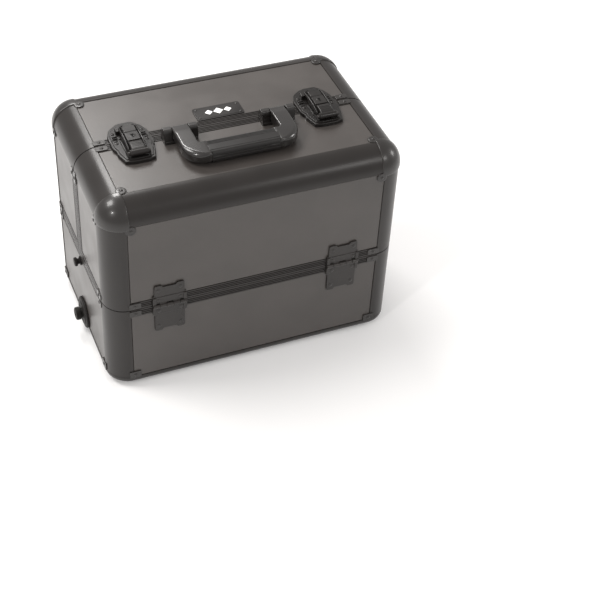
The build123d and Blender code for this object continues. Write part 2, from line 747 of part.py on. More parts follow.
with BuildPart() as latch_base_plates:
    for end in ENDS:
        x = end * LATCH_X
        half_back = LATCH_PLATE_WIDTH / 2
        half_front = LATCH_PLATE_FRONT_WIDTH / 2
        with BuildSketch(Plane.XY.offset(HEIGHT)):
            with BuildLine():
                Polyline(
                    (x - half_back, -SEAM_GAP),
                    (x + half_back, -SEAM_GAP),
                    (x + half_back, -LATCH_PLATE_LENGTH / 2),
                    (x + half_front, -LATCH_PLATE_LENGTH),
                    (x - half_front, -LATCH_PLATE_LENGTH),
                    (x - half_back, -LATCH_PLATE_LENGTH / 2),
                    close=True,
                )
            make_face()
        extrude(amount=LATCH_PLATE_THICKNESS)
        for across in (-1, 1):
            inner = x + across * LATCH_EAR_INNER
            outer = inner + across * LATCH_EAR_THICKNESS
            block(
                (inner, outer),
                (LATCH_PIVOT_Y - LATCH_EAR_HALF_LENGTH, LATCH_PIVOT_Y + LATCH_EAR_HALF_LENGTH),
                (HEIGHT, LEVER_TOP),
            )
        reach = LATCH_EAR_INNER + LATCH_EAR_THICKNESS
        peg(x - reach, x + reach, LATCH_PIVOT_Y, LATCH_PIVOT_Z, LATCH_PIN_RADIUS)
save(latch_base_plates, "latch_base_plates")


def latch_lever(x):
    """A lever that lifts at the split and turns on the pin at the plate's front."""
    half = LEVER_WIDTH / 2
    with BuildPart() as lever:
        block((x - half, x + half), (LATCH_PIVOT_Y, LEVER_STEP_Y), (LEVER_BOTTOM, LEVER_TOP))
        block((x - half, x + half), (LEVER_STEP_Y, LEVER_NOSE_Y), (LEVER_NOSE_BOTTOM, LEVER_TOP))
        peg(x - half, x + half, LATCH_PIVOT_Y, LATCH_PIVOT_Z, LEVER_BARREL_RADIUS)
        bore = LATCH_PIN_RADIUS + RUNNING_CLEARANCE
        peg(x - half, x + half, LATCH_PIVOT_Y, LATCH_PIVOT_Z, bore, mode=Mode.SUBTRACT)
    return lever


save(latch_lever(-LATCH_X), "latch_lever_left")
save(latch_lever(LATCH_X), "latch_lever_right")

with BuildPart() as latch_keepers:
    for end in ENDS:
        x = end * LATCH_X
        with BuildSketch(Plane.XY.offset(HEIGHT)) as outline:
            with Locations((x, (SEAM_GAP + KEEPER_LENGTH) / 2)):
                Rectangle(KEEPER_WIDTH, KEEPER_LENGTH - SEAM_GAP)
            fillet(outline.vertices().group_by(Axis.Y)[-1], radius=KEEPER_CORNER_RADIUS)
        extrude(amount=KEEPER_THICKNESS)
        catch_x = (x - CATCH_HALF_WIDTH, x + CATCH_HALF_WIDTH)
        block(catch_x, (CATCH_Y, CATCH_Y + CATCH_LENGTH), (HEIGHT, CATCH_TOP))
save(latch_keepers, "latch_keepers")

with BuildPart() as nameplate:
    with BuildSketch(Plane.XY.offset(PANEL_FACE_Z)):
        with Locations((0, NAMEPLATE_Y)):
            RectangleRounded(NAMEPLATE_LENGTH, NAMEPLATE_DEPTH, NAMEPLATE_CORNER_RADIUS)
    extrude(amount=NAMEPLATE_THICKNESS)
save(nameplate, "nameplate")

# Carrying handle on the front half -----------------------------------------------------

with BuildPart() as handle_brackets:
    post_inner = HANDLE_INNER_HALF - POST_GAP - POST_WIDTH
    post_outer = HANDLE_HALF_WIDTH + POST_GAP + POST_WIDTH
    bracket_y = (HANDLE_PIVOT_Y - BRACKET_PLATE_FRONT, HANDLE_PIVOT_Y + BRACKET_PLATE_BACK)
    for end in ENDS:
        block(span(end, post_inner, post_outer), bracket_y, (HEIGHT, HEIGHT + BRACKET_PLATE_THICKNESS))
        for start in (post_inner, post_outer - POST_WIDTH):
            with BuildSketch(Plane.YZ.offset(end * start if end > 0 else -start - POST_WIDTH)):
                with Locations((HANDLE_PIVOT_Y, (HEIGHT + HANDLE_PIVOT_Z) / 2)):
                    Rectangle(2 * HANDLE_EYE_RADIUS, HANDLE_PIVOT_Z - HEIGHT)
                with Locations((HANDLE_PIVOT_Y, HANDLE_PIVOT_Z)):
                    Circle(HANDLE_EYE_RADIUS)
                    Circle(HANDLE_PIN_RADIUS + POST_BORE_CLEARANCE, mode=Mode.SUBTRACT)
            extrude(amount=POST_WIDTH)
    for end in ENDS:
        peg(end * post_inner, end * post_outer, HANDLE_PIVOT_Y, HANDLE_PIVOT_Z, HANDLE_PIN_RADIUS)
save(handle_brackets, "handle_brackets")

with BuildPart() as handle_frame:
    plan_middle = (HANDLE_PIVOT_Y + HANDLE_FRONT) / 2
    opening_length = 60
    with BuildSketch(Plane.XY.offset(HANDLE_BOTTOM)):
        with Locations((0, plan_middle)):
            RectangleRounded(2 * HANDLE_HALF_WIDTH, HANDLE_REACH, HANDLE_CORNER_RADIUS)
        with Locations((0, plan_middle + HANDLE_CORNER_RADIUS / 2)):
            Rectangle(2 * HANDLE_HALF_WIDTH, HANDLE_REACH - HANDLE_CORNER_RADIUS)
        with Locations((0, HANDLE_GRIP_BACK + opening_length / 2)):
            RectangleRounded(
                2 * HANDLE_INNER_HALF,
                opening_length,
                HANDLE_INNER_CORNER_RADIUS,
                mode=Mode.SUBTRACT,
            )
    extrude(amount=HANDLE_TOP - HANDLE_BOTTOM)
    for end in ENDS:
        block(
            span(end, HANDLE_INNER_HALF - 1, HANDLE_HALF_WIDTH + 1),
            (HANDLE_PIVOT_Y - EYE_RELIEF, HANDLE_PIVOT_Y + 1),
            (HANDLE_BOTTOM - 1, HANDLE_TOP + 1),
            mode=Mode.SUBTRACT,
        )
        eye = (end * HANDLE_INNER_HALF, end * HANDLE_HALF_WIDTH)
        neck = (HANDLE_PIVOT_Z - HANDLE_EYE_RADIUS, HANDLE_PIVOT_Z + HANDLE_EYE_RADIUS)
        block(eye, (HANDLE_PIVOT_Y - EYE_RELIEF, HANDLE_PIVOT_Y), neck)
        peg(*eye, HANDLE_PIVOT_Y, HANDLE_PIVOT_Z, HANDLE_EYE_RADIUS)
        peg(*eye, HANDLE_PIVOT_Y, HANDLE_PIVOT_Z, HANDLE_EYE_BORE, mode=Mode.SUBTRACT)
    sleeve = (-GRIP_HALF_LENGTH, GRIP_HALF_LENGTH)
    block(sleeve, (HANDLE_FRONT, HANDLE_GRIP_BACK), (HANDLE_BOTTOM, HANDLE_TOP), mode=Mode.SUBTRACT)
    block(
        sleeve,
        (HANDLE_FRONT + GRIP_CORE_INSET, HANDLE_GRIP_BACK - GRIP_CORE_INSET),
        (HANDLE_BOTTOM + GRIP_CORE_INSET, HANDLE_TOP - GRIP_CORE_INSET),
    )
save(handle_frame, "handle_frame")

with BuildPart() as handle_grip:
    half_grip = GRIP_HALF_LENGTH - GRIP_CLEARANCE
    hollow = GRIP_CORE_INSET - GRIP_CLEARANCE
    block((-half_grip, half_grip), (HANDLE_FRONT, HANDLE_GRIP_BACK), (HANDLE_BOTTOM, HANDLE_TOP))
    fillet(handle_grip.edges().filter_by(Axis.X), radius=GRIP_EDGE_RADIUS)
    block(
        (-half_grip, half_grip),
        (HANDLE_FRONT + hollow, HANDLE_GRIP_BACK - hollow),
        (HANDLE_BOTTOM + hollow, HANDLE_TOP - hollow),
        mode=Mode.SUBTRACT,
    )
save(handle_grip, "handle_grip")
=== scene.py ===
from math import atan2, copysign, cos, pi, radians, sin, sqrt, tan

import bmesh
import bpy
from mathutils import Matrix, Vector


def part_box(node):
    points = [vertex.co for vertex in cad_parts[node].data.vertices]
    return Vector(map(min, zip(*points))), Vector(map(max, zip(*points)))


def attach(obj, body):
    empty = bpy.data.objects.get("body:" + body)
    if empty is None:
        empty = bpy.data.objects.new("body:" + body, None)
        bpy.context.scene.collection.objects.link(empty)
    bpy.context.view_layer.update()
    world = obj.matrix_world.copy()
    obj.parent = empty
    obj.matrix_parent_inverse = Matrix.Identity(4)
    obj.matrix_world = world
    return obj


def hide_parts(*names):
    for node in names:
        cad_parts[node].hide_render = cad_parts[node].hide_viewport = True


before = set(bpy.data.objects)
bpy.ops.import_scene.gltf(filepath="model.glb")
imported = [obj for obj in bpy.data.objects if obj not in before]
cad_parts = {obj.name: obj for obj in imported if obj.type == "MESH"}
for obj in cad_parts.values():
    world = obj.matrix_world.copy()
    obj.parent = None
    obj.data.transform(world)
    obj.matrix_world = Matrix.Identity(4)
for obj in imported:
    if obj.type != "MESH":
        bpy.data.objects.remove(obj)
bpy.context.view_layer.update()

# Makeup train case: every piece is built in millimetres around its CAD node.
MM = 0.001
# How x and y are flipped for each copy of a shell.
ONCE = ((1, 1),)
BOTH_ENDS = ((1, 1), (-1, 1))
BOTH_SIDES = ((1, 1), (1, -1))
ALL_CORNERS = ((1, 1), (1, -1), (-1, 1), (-1, -1))


def extent(node):
    """A CAD node's lowest and highest corner, in millimetres."""
    low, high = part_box(node)
    return [v / MM for v in low], [v / MM for v in high]


EDGE_LOW, EDGE_HIGH = extent("back_lid_edge_profiles")
PANEL_LOW, PANEL_HIGH = extent("back_lid_top_panel")
PINS_HIGH = extent("hinge_pins")[1]
GAP = 0.1
# The body's outer faces, and the arc centres of its rounded edges.
HX, HY, TOP = EDGE_HIGH
CX = PANEL_HIGH[0] + GAP
CY = PANEL_HIGH[1] + GAP
RADIUS = HX - CX
CZ = TOP - RADIUS
LID_BOTTOM = EDGE_LOW[2]
BASE_TOP = extent("base_corner_profiles")[1][2]
BASE_BOTTOM = extent("base_bottom_profiles")[0][2]
PROFILE_TOP = extent("base_bottom_profiles")[1][2]
WALL = 4.0
RIM = 10.0
PANEL_THICK = PANEL_HIGH[2] - PANEL_LOW[2]
# The side hinges.
PIN_RADIUS = 1.3
PIN_HALF = 20.0
SEAM = PINS_HIGH[2] - PIN_RADIUS
HINGE_X = PINS_HIGH[0] - PIN_HALF
HINGE_OUT = HY + 2.5
# Half of the gap between the lids, the shadow gaps between profiles, and the one around panels.
SPLIT = 0.3
SHADOW = 0.35
EASE = 0.35


# == Shell builders ==


def steps_between(low, high, count):
    return [low + (high - low) * k / count for k in range(count + 1)]


def place(axis, along, a, b):
    return {"x": (along, a, b), "y": (a, along, b), "z": (a, b, along)}[axis]


def round_edges(shell, edges, radius, segments):
    bmesh.ops.bevel(
        shell, geom=edges, offset=radius, segments=segments, profile=0.5, affect="EDGES", clamp_overlap=True
    )


def slab(x, y, z, bevel=0.4, segments=2):
    """A box between two values on each axis, with rounded edges."""
    shell = bmesh.new()
    bmesh.ops.create_cube(shell, size=1)
    middle = Vector([(r[0] + r[1]) / 2 for r in (x, y, z)])
    size = [abs(r[1] - r[0]) for r in (x, y, z)]
    for v in shell.verts:
        v.co = middle + Vector([c * s for c, s in zip(v.co, size)])
    round_edges(shell, shell.edges[:], bevel, segments)
    return shell


def prism(outline, axis, start, end, bevel=0.4, segments=2, only_end=False):
    """An outline pushed along an axis, with its end edges rounded."""
    shell = loft([[place(axis, at, a, b) for a, b in outline] for at in (start, end)])
    shell.faces.ensure_lookup_table()
    edges = list(shell.faces[-1].edges)
    if not only_end:
        edges = list(shell.faces[-2].edges) + edges
    round_edges(shell, edges, bevel, segments)
    return shell


def rounded(corners, steps=6):
    """A closed outline from (a, b, radius) corners."""
    points = []
    for k, (a, b, radius) in enumerate(corners):
        here = Vector((a, b))
        if radius <= 0:
            points.append((a, b))
            continue
        before = (Vector(corners[k - 1][:2]) - here).normalized()
        after = (Vector(corners[(k + 1) % len(corners)][:2]) - here).normalized()
        half = before.angle(after) / 2
        centre = here + (before + after).normalized() * (radius / sin(half))
        start = here + before * (radius / tan(half)) - centre
        end = here + after * (radius / tan(half)) - centre
        first = atan2(start.y, start.x)
        turn = (atan2(end.y, end.x) - first + pi) % (2 * pi) - pi
        for step in range(steps + 1):
            angle = first + turn * step / steps
            points.append((centre.x + radius * cos(angle), centre.y + radius * sin(angle)))
    return points


def rectangle(a, b, radius, steps=6):
    """A rounded rectangle's outline; each side's two values come in either order."""
    (a_low, a_high), (b_low, b_high) = sorted(a), sorted(b)
    corners = [(a_low, b_low), (a_high, b_low), (a_high, b_high), (a_low, b_high)]
    return rounded([(p, q, radius) for p, q in corners], steps)


def symmetric(half):
    """All the corners of an outline from half of them, mirrored about a = 0."""
    return half + [(-a, b, radius) for a, b, radius in half[::-1]]


def shifted(points, by_a, by_b=0.0):
    return [(a + by_a, b + by_b) for a, b in points]


def loft(rings):
    """A skin over rings of equal length, with a cap on the first and the last."""
    shell = bmesh.new()
    rows = [[shell.verts.new(p) for p in ring] for ring in rings]
    for a, b in zip(rows, rows[1:]):
        for k in range(len(a)):
            following = (k + 1) % len(a)
            shell.faces.new((a[k], a[following], b[following], b[k]))
    shell.faces.new(rows[0][::-1])
    shell.faces.new(rows[-1])
    bmesh.ops.recalc_face_normals(shell, faces=shell.faces[:])
    return shell


def turned(profile, centre, axis, steps=28):
    """A turned part from (distance along the axis, radius) points that start and end at radius 0."""
    shell = bmesh.new()
    turn = Vector((0, 0, 1)).rotation_difference(Vector(axis))
    rings = []
    for along, radius in profile:
        count = steps if radius > 0 else 1
        ring = []
        for k in range(count):
            angle = 2 * pi * k / count
            point = Vector((radius * cos(angle), radius * sin(angle), along))
            ring.append(shell.verts.new(Vector(centre) + turn @ point))
        rings.append(ring)
    for a, b in zip(rings, rings[1:]):
        for k in range(steps):
            corners = [a[k % len(a)], a[(k + 1) % len(a)], b[(k + 1) % len(b)], b[k % len(b)]]
            shell.faces.new(list(dict.fromkeys(corners)))
    bmesh.ops.recalc_face_normals(shell, faces=shell.faces[:])
    return shell


# Heads of rivets, as shares of their height and radius.
DOME = ((0.2, 1), (0.55, 0.86), (0.85, 0.52), (0.97, 0.2), (1, 0))
DIMPLED = ((0.3, 1), (0.8, 0.82), (1, 0.55), (1, 0.38), (0.35, 0.3), (0.3, 0))


def rivet(centre, axis, radius=2.2, height=1.0, steps=18, shape=DOME):
    """A rivet's head, standing on its centre point."""
    profile = [(-0.2, 0), (-0.2, radius)] + [(height * a, radius * b) for a, b in shape]
    return turned(profile, centre, axis, steps)


def linked(name, data):
    """A new object in the scene."""
    made = bpy.data.objects.new(name, data)
    bpy.context.scene.collection.objects.link(made)
    return made


class Piece:
    """Closed shells collected into one mesh; slot picks the material of each."""

    def __init__(self):
        self.points = []
        self.faces = []
        self.slots = []

    def take(self, shell, flips=ONCE, slot=0):
        shell.verts.index_update()
        for fx, fy in flips:
            start = len(self.points)
            self.points += [(fx * v.co.x, fy * v.co.y, v.co.z) for v in shell.verts]
            for face in shell.faces:
                ids = [start + v.index for v in face.verts]
                self.faces.append(ids[::-1] if fx * fy < 0 else ids)
                self.slots.append(slot)
        shell.free()

    def build(self, name, body, node, materials, sharp=38):
        mesh = bpy.data.meshes.new(name)
        mesh.from_pydata([[c * MM for c in p] for p in self.points], [], self.faces)
        for material in materials:
            mesh.materials.append(material)
        mesh.polygons.foreach_set("material_index", self.slots)
        mesh.polygons.foreach_set("use_smooth", [True] * len(self.faces))
        mesh.set_sharp_from_angle(angle=radians(sharp))
        piece = linked(name, mesh)
        normals = piece.modifiers.new("normals", "WEIGHTED_NORMAL")
        normals.keep_sharp = True
        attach(piece, body)
        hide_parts(node)


# == Materials ==

NOISE_SPAN = (0.3, 0.7)
EDGE_SPAN = (0.52, 0.60)
EDGE_WEAR = 0.5
DRIFT_SCALE = 22


def feed(tree, node, values, links):
    """Set some of a node's inputs and link others."""
    for socket, value in values.items():
        node.inputs[socket].default_value = value
    for socket, source in links.items():
        tree.links.new(source, node.inputs[socket])
    return node


def add(tree, kind, values, links):
    return feed(tree, tree.nodes.new(kind), values, links)


def noise(tree, source, scale, detail):
    made = add(tree, "ShaderNodeTexNoise", {"Scale": scale, "Detail": detail}, {"Vector": source})
    return made.outputs["Fac"]


def ranged(tree, source, span, result, smooth=False):
    """A value's span mapped onto a result range."""
    ends = dict(zip(("From Min", "From Max", "To Min", "To Max"), span + result))
    made = add(tree, "ShaderNodeMapRange", ends, {"Value": source})
    if smooth:
        made.interpolation_type = "SMOOTHSTEP"
    return made.outputs["Result"]


def product(tree, first, second):
    made = add(tree, "ShaderNodeMath", {}, {0: first, 1: second})
    made.operation = "MULTIPLY"
    return made.outputs["Value"]


def material(name, colour, roughness, spread=0.06, grain=900, grain_depth=0.00002, stretch=(1, 1, 1),
             metallic=0.0, specular=0.5, coat=0.0, wear=0.25, bump=0.3, fine=0.0):
    """A finish whose tone and gloss drift over the surface, with rubbed edges and grain in relief."""
    made = bpy.data.materials.new(name)
    made.use_nodes = True
    tree = made.node_tree
    where = tree.nodes.new("ShaderNodeTexCoord").outputs["Object"]
    mapping = add(tree, "ShaderNodeMapping", {"Scale": stretch}, {"Vector": where})
    drift = noise(tree, where, DRIFT_SCALE, 2)
    texture = noise(tree, mapping.outputs["Vector"], grain, 3)
    pointed = tree.nodes.new("ShaderNodeNewGeometry").outputs["Pointiness"]

    tone = ranged(tree, drift, NOISE_SPAN, (1 - wear * 0.5, 1 + wear * 0.5), True)
    speckle = ranged(tree, texture, NOISE_SPAN, (1 - fine, 1 + fine))
    rubbed = ranged(tree, pointed, EDGE_SPAN, (1.0, 1.0 + EDGE_WEAR))
    paint = tree.nodes.new("ShaderNodeVectorMath")
    paint.operation = "SCALE"
    feed(tree, paint, {0: colour}, {"Scale": product(tree, product(tree, tone, speckle), rubbed)})
    gloss_range = (max(0.05, roughness - spread), min(1.0, roughness + spread))
    gloss = ranged(tree, drift, NOISE_SPAN, gloss_range, True)
    relief = add(tree, "ShaderNodeBump", {"Strength": bump, "Distance": grain_depth}, {"Height": texture})
    values = {"Metallic": metallic, "IOR": 1.5, "Specular IOR Level": specular, "Coat Weight": coat}
    values["Coat Roughness"] = 0.12
    links = {"Base Color": paint.outputs["Vector"], "Roughness": gloss, "Normal": relief.outputs["Normal"]}
    feed(tree, tree.nodes["Principled BSDF"], values, links)
    return made


PANEL = material("black_satin_panel", (0.0385, 0.0340, 0.0312), 0.34, 0.03, 700, 0.00003,
                 specular=0.6, wear=0.12, fine=0.05)
PROFILE = material("black_anodised_profile", (0.018, 0.0158, 0.0146), 0.31, 0.02, 1100, 0.00001,
                   specular=0.36, wear=0.10, bump=0.06, fine=0.02)
BALL = material("black_satin_ball", (0.018, 0.0159, 0.0147), 0.34, 0.03, 900, 0.00001,
                specular=0.42, coat=0.3, wear=0.14, bump=0.12, fine=0.02)
LEAF = material("black_hinge_plate", (0.021, 0.0185, 0.0171), 0.33, 0.06, 800, 0.00004,
                specular=0.42, wear=0.3, fine=0.08)
HARDWARE = material("black_painted_hardware", (0.011, 0.0097, 0.0090), 0.33, 0.07, 800, 0.00004,
                    specular=0.36, wear=0.35, fine=0.10)
HANDLE = material("black_moulded_handle", (0.0155, 0.0139, 0.0130), 0.26, 0.03, 700, 0.00001,
                  coat=0.35, wear=0.14, bump=0.15, fine=0.02)
GRIP = material("black_soft_grip", (0.012, 0.0110, 0.0105), 0.36, 0.05, 900, 0.00005,
                specular=0.36, wear=0.15, fine=0.06)
TRAY = material("black_grained_tray", (0.022, 0.0210, 0.0205), 0.44, 0.06, 420, 0.00012,
                specular=0.42, wear=0.15, bump=0.5, fine=0.10)
EDGE = material("worn_tray_edge", (0.075, 0.072, 0.070), 0.50, 0.06, 420, 0.0001, wear=0.3, fine=0.12)
STEEL = material("bright_zinc_steel", (0.56, 0.56, 0.555), 0.29, 0.08, 500, 0.00003, (1, 0.06, 1),
                 metallic=1.0, wear=0.16, fine=0.06)
RIVET = material("bright_rivet", (0.70, 0.69, 0.67), 0.24, 0.08, 700, 0.00003,
                 metallic=1.0, wear=0.2, fine=0.05)
FOAM = material("dark_brown_foam", (0.046, 0.037, 0.030), 0.88, 0.05, 650, 0.0005,
                specular=0.25, wear=0.3, bump=0.8, fine=0.25)
RUBBER = material("black_rubber", (0.018, 0.018, 0.018), 0.62, 0.08, 600, 0.00008,
                  wear=0.2, bump=0.4, fine=0.08)
STUD = material("black_stud_plastic", (0.010, 0.0088, 0.0082), 0.50, 0.06, 700, 0.00004,
                specular=0.16, fine=0.08)
# Near-black finish for the keyhole: painted shade standing in for the dark inside of the hole.
KEYHOLE_SHADE = material("painted_keyhole_shade", (0.003, 0.003, 0.003), 0.7, 0.05, 600, specular=0.1, wear=0.1)
MOTIF = material("silver_white_print", (0.86, 0.86, 0.85), 0.42, 0.05, wear=0.05, fine=0.02)
SCREW = material("dark_steel_rivet", (0.020, 0.0178, 0.0165), 0.32, 0.06, 700, 0.00003,
                 wear=0.3, fine=0.05)


# == Case body ==

GROOVES = (2.9, 5.2, 7.6)
HEAD_RADIUS = 2.1
HEAD_HEIGHT = 0.9


def quarter(edge=0.5, steps=16):
    """The rounded edge profile's section about its arc centre, with a lip that steps down to the panels."""
    inner = RADIUS - WALL
    lip = edge / RADIUS
    points = [(RADIUS - edge, 0)]
    for angle in steps_between(lip, pi / 2 - lip, steps):
        points.append((RADIUS * cos(angle), RADIUS * sin(angle)))
    points.append((0, RADIUS - edge))
    for angle in steps_between(pi / 2, 0, steps):
        points.append((inner * cos(angle), inner * sin(angle)))
    return points


def strip_section(thickness, width, grooves):
    """A flat profile's section: (distance across, depth) with rounded shoulders and fine grooves."""
    points = [(0, 0.6), (0.25, 0.15), (0.7, 0)]
    for at in grooves:
        points += [(at - 0.65, 0), (at - 0.35, 0.8), (at + 0.35, 0.8), (at + 0.65, 0)]
    points += [(width - 0.7, 0), (width - 0.25, 0.15), (width, 0.6), (width, thickness), (0, thickness)]
    return points


def side_flips(side):
    """The flips that put a shell on one half of the case: once, and at both ends."""
    return ((1, side),), ((1, side), (-1, side))


def skins(body, sheets):
    """Flat panels with eased edges."""
    for skin, node, flips, spans in sheets:
        sheet = Piece()
        sheet.take(slab(*spans, 0.5, 3), flips)
        sheet.build(f"{body}_{skin}", body, f"{body}_{node}", [PANEL])


def lid_panels(name, side):
    once, ends = side_flips(side)
    low, high = extent(f"{name}_lid_top_panel")
    sunk = TOP - high[2]
    x_span = (EASE - CX, CX - EASE)
    y_span = (RIM + EASE, CY - EASE)
    z_span = (LID_BOTTOM + RIM + EASE, CZ - EASE)
    skins(f"{name}_lid", (
        ("top_skin", "top_panel", once, (x_span, y_span, (low[2], high[2]))),
        ("face_skin", "face_panel", once, (x_span, (HY - sunk - PANEL_THICK, HY - sunk), z_span)),
        ("end_skins", "end_panels", ends, ((HX - sunk - PANEL_THICK, HX - sunk), y_span, z_span)),
    ))


def lid_profiles(name, side):
    """The rounded edges, and the grooved strips along the seam and the split."""
    once, ends = side_flips(side)
    body = f"{name}_lid"
    x_span = (GAP - CX, CX - GAP)
    section = quarter()
    edges = Piece()
    edges.take(prism(shifted(section, CY, CZ), "x", *x_span, 0.3), once)
    edges.take(prism(shifted(section, CX, CZ), "y", SPLIT + SHADOW, CY - GAP, 0.35), ends)
    edges.take(prism(shifted(section, CX, CY), "z", LID_BOTTOM + SHADOW, CZ - GAP, 0.35), ends)
    edges.build(f"{name}_lid_round_edges", body, f"{name}_lid_edge_profiles", [PROFILE])

    rims = Piece()
    strip = strip_section(6.0, RIM, GROOVES)
    rims.take(prism([(HY - d, LID_BOTTOM + w) for w, d in strip], "x", *x_span, 0.2), once)
    rims.take(prism([(SPLIT + w, TOP - d) for w, d in strip], "x", *x_span, 0.2), once)
    rims.take(prism([(HX - d, LID_BOTTOM + w) for w, d in strip], "y", RIM + GAP, CY - GAP, 0.2), ends)
    rims.take(prism([(HX - d, SPLIT + w) for w, d in strip], "z", LID_BOTTOM, CZ - GAP, 0.2), ends)
    rims.build(f"{name}_lid_rim_strips", body, f"{name}_lid_rim_profiles", [PROFILE])


def lid_fittings(name, side):
    """Ball corners with their riveted ears, riveted tabs, and the upper hinge plates."""
    ends = side_flips(side)[1]
    body = f"{name}_lid"
    corners = Piece()
    corners.take(ball_corner(), ends)
    for centre, axis in ear_places():
        corners.take(disc_ear(centre, axis), ends)
        standing = Vector(centre) + Vector(axis) * 1.1
        corners.take(rivet(standing, axis, HEAD_RADIUS, HEAD_HEIGHT), ends, 1)
    tabs = [
        ((CX - 5, 5.5, TOP), (0, 0, 1), (14, 8)),
        ((CX - 5, HY, LID_BOTTOM + 5.5), (0, 1, 0), (14, 8)),
        ((HX, 5.5, CZ - 5), (1, 0, 0), (8, 14)),
        ((HX, CY - 5, LID_BOTTOM + 5.5), (1, 0, 0), (14, 8)),
    ]
    riveted_tabs(corners, tabs, ends)
    node = f"{name}_lid_corner_fittings"
    corners.build(f"{name}_lid_ball_corners", body, node, [BALL, SCREW], 50)

    leaves = Piece()
    leaf(leaves, ends, 1)
    node = f"{name}_lid_hinge_leaves"
    leaves.build(f"{name}_lid_hinge_plates", body, node, [LEAF, SCREW])


def ball_corner():
    """A pressed ball corner whose lips lap over the three round edges."""
    shell = bmesh.new()
    lap = 3.0
    outer = RADIUS + 1.2
    flat = [-lap, -lap + 0.25, -lap + 0.7, -lap + 1.3, -0.12, 0.12]
    curved = [outer * tan(radians(45 * k / 9)) for k in range(1, 10)]
    ticks = flat + curved
    core = Vector((CX, CY, CZ))

    def surface(offset, outside):
        out = Vector([max(c, 0) for c in offset])
        out.normalize()
        foot = core + Vector([min(c, 0) for c in offset])
        if outside:
            inset = min(offset[0], offset[1], offset[2]) + lap
            return foot + out * (outer - 1.0 + min(1.0, sqrt(max(0, inset) / 0.9)))
        lapped = min(offset) < 0
        return foot + out * (RADIUS + 0.04 if lapped else RADIUS - WALL + 0.2)

    grids = (
        lambda u, v: (u, v, outer),
        lambda u, v: (v, outer, u),
        lambda u, v: (outer, u, v),
    )
    for outside in (True, False):
        for grid in grids:
            rows = [[shell.verts.new(surface(grid(u, v), outside)) for v in ticks] for u in ticks]
            for i in range(len(ticks) - 1):
                for j in range(len(ticks) - 1):
                    quad = (rows[i][j], rows[i + 1][j], rows[i + 1][j + 1], rows[i][j + 1])
                    shell.faces.new(quad if outside else quad[::-1])
    bmesh.ops.remove_doubles(shell, verts=shell.verts[:], dist=0.01)
    bmesh.ops.bridge_loops(shell, edges=[e for e in shell.edges if e.is_boundary])
    bmesh.ops.recalc_face_normals(shell, faces=shell.faces[:])
    return shell


def ear_places():
    inset = 4.0
    x, y, z = CX - inset, CY - inset, CZ - inset
    return [((x, y, TOP), (0, 0, 1)), ((x, HY, z), (0, 1, 0)), ((HX, y, z), (1, 0, 0))]


def disc_ear(centre, axis):
    profile = [(-0.3, 0), (-0.3, 5.9), (0.5, 5.9), (0.95, 5.6), (1.12, 5.1), (1.12, 3.0), (1.12, 0)]
    return turned(profile, centre, axis, 36)


def tab(centre, axis, size):
    """A small strap, rounded at its corners, on a face that looks along the axis."""
    out = axis.index(1)
    spans = [(c - s / 2, c + s / 2) for c, s in zip([c for k, c in enumerate(centre) if k != out], size)]
    return prism(rectangle(*spans, 1.6), "xyz"[out], centre[out] - 0.5, centre[out] + 1, 0.35)


def riveted_tabs(piece, places, flips):
    for centre, axis, size in places:
        piece.take(tab(centre, axis, size), flips)
        piece.take(rivet(Vector(centre) + Vector(axis), axis, HEAD_RADIUS, HEAD_HEIGHT), flips, 1)


def leaf(piece, flips, up):
    """Hinge plates: up is 1 for the leaf above the seam and -1 for the one below."""
    low, high = extent("back_lid_hinge_leaves" if up > 0 else "base_hinge_leaves")
    reach = high[2] - SEAM if up > 0 else SEAM - low[2]
    knuckles = (-8, 8) if up > 0 else (-16, 0, 16)
    # Rivet rows: the distance from the seam, and the height of the face they stand on.
    rows = ((7.6, 2.1), (22.0, 1.5)) if up > 0 else ((8.0, 2.1), (31.0, 1.5))

    def plate(corners, start, end, bevel, segments):
        points = [(HINGE_X + a, SEAM + up * b) for a, b in rounded(corners, 4)]
        piece.take(prism(points, "y", HY + start, HY + end, bevel, segments), flips)

    outline = symmetric([
        (20, 3, 1.0), (20, 13.5, 1.5), (17.8, 14.5, 0.8), (17.8, reach, 2.5), (9.5, reach, 2.0),
        (7.5, reach - 2.6, 1.5),
    ])
    plate(outline, -0.3, 1.5, 0.4, 2)
    plate(symmetric([(17.6, 3.4, 1.2), (17.6, 12.6, 1.4)]), 1.2, 2.1, 0.45, 3)
    for a in (-17.9, 17.9):
        wing = [(a - 2.1, 2.2, 0.8), (a + 2.1, 2.2, 0.8), (a + 2.1, 12.4, 1.2), (a - 2.1, 12.4, 1.2)]
        plate(wing, 1.0, 3.0, 0.7, 3)
    length = 7.8
    barrel = [(0, 0), (0, 2.05), (0.35, 2.4), (length - 0.35, 2.4), (length, 2.05), (length, 0)]
    for x in knuckles:
        start = HINGE_X + x - length / 2
        piece.take(turned(barrel, (start, HINGE_OUT, SEAM), (1, 0, 0), 24), flips)
        heights = sorted((SEAM + up * 0.3, SEAM + up * 4.2))
        piece.take(slab((start, start + length), (HY + 0.1, HY + 2.4), heights, 0.3), flips)
    for b, proud in rows:
        for a in (-13, 13):
            centre = (HINGE_X + a, HY + proud, SEAM + up * b)
            piece.take(rivet(centre, (0, 1, 0), 2.4, 0.8), flips, 1)


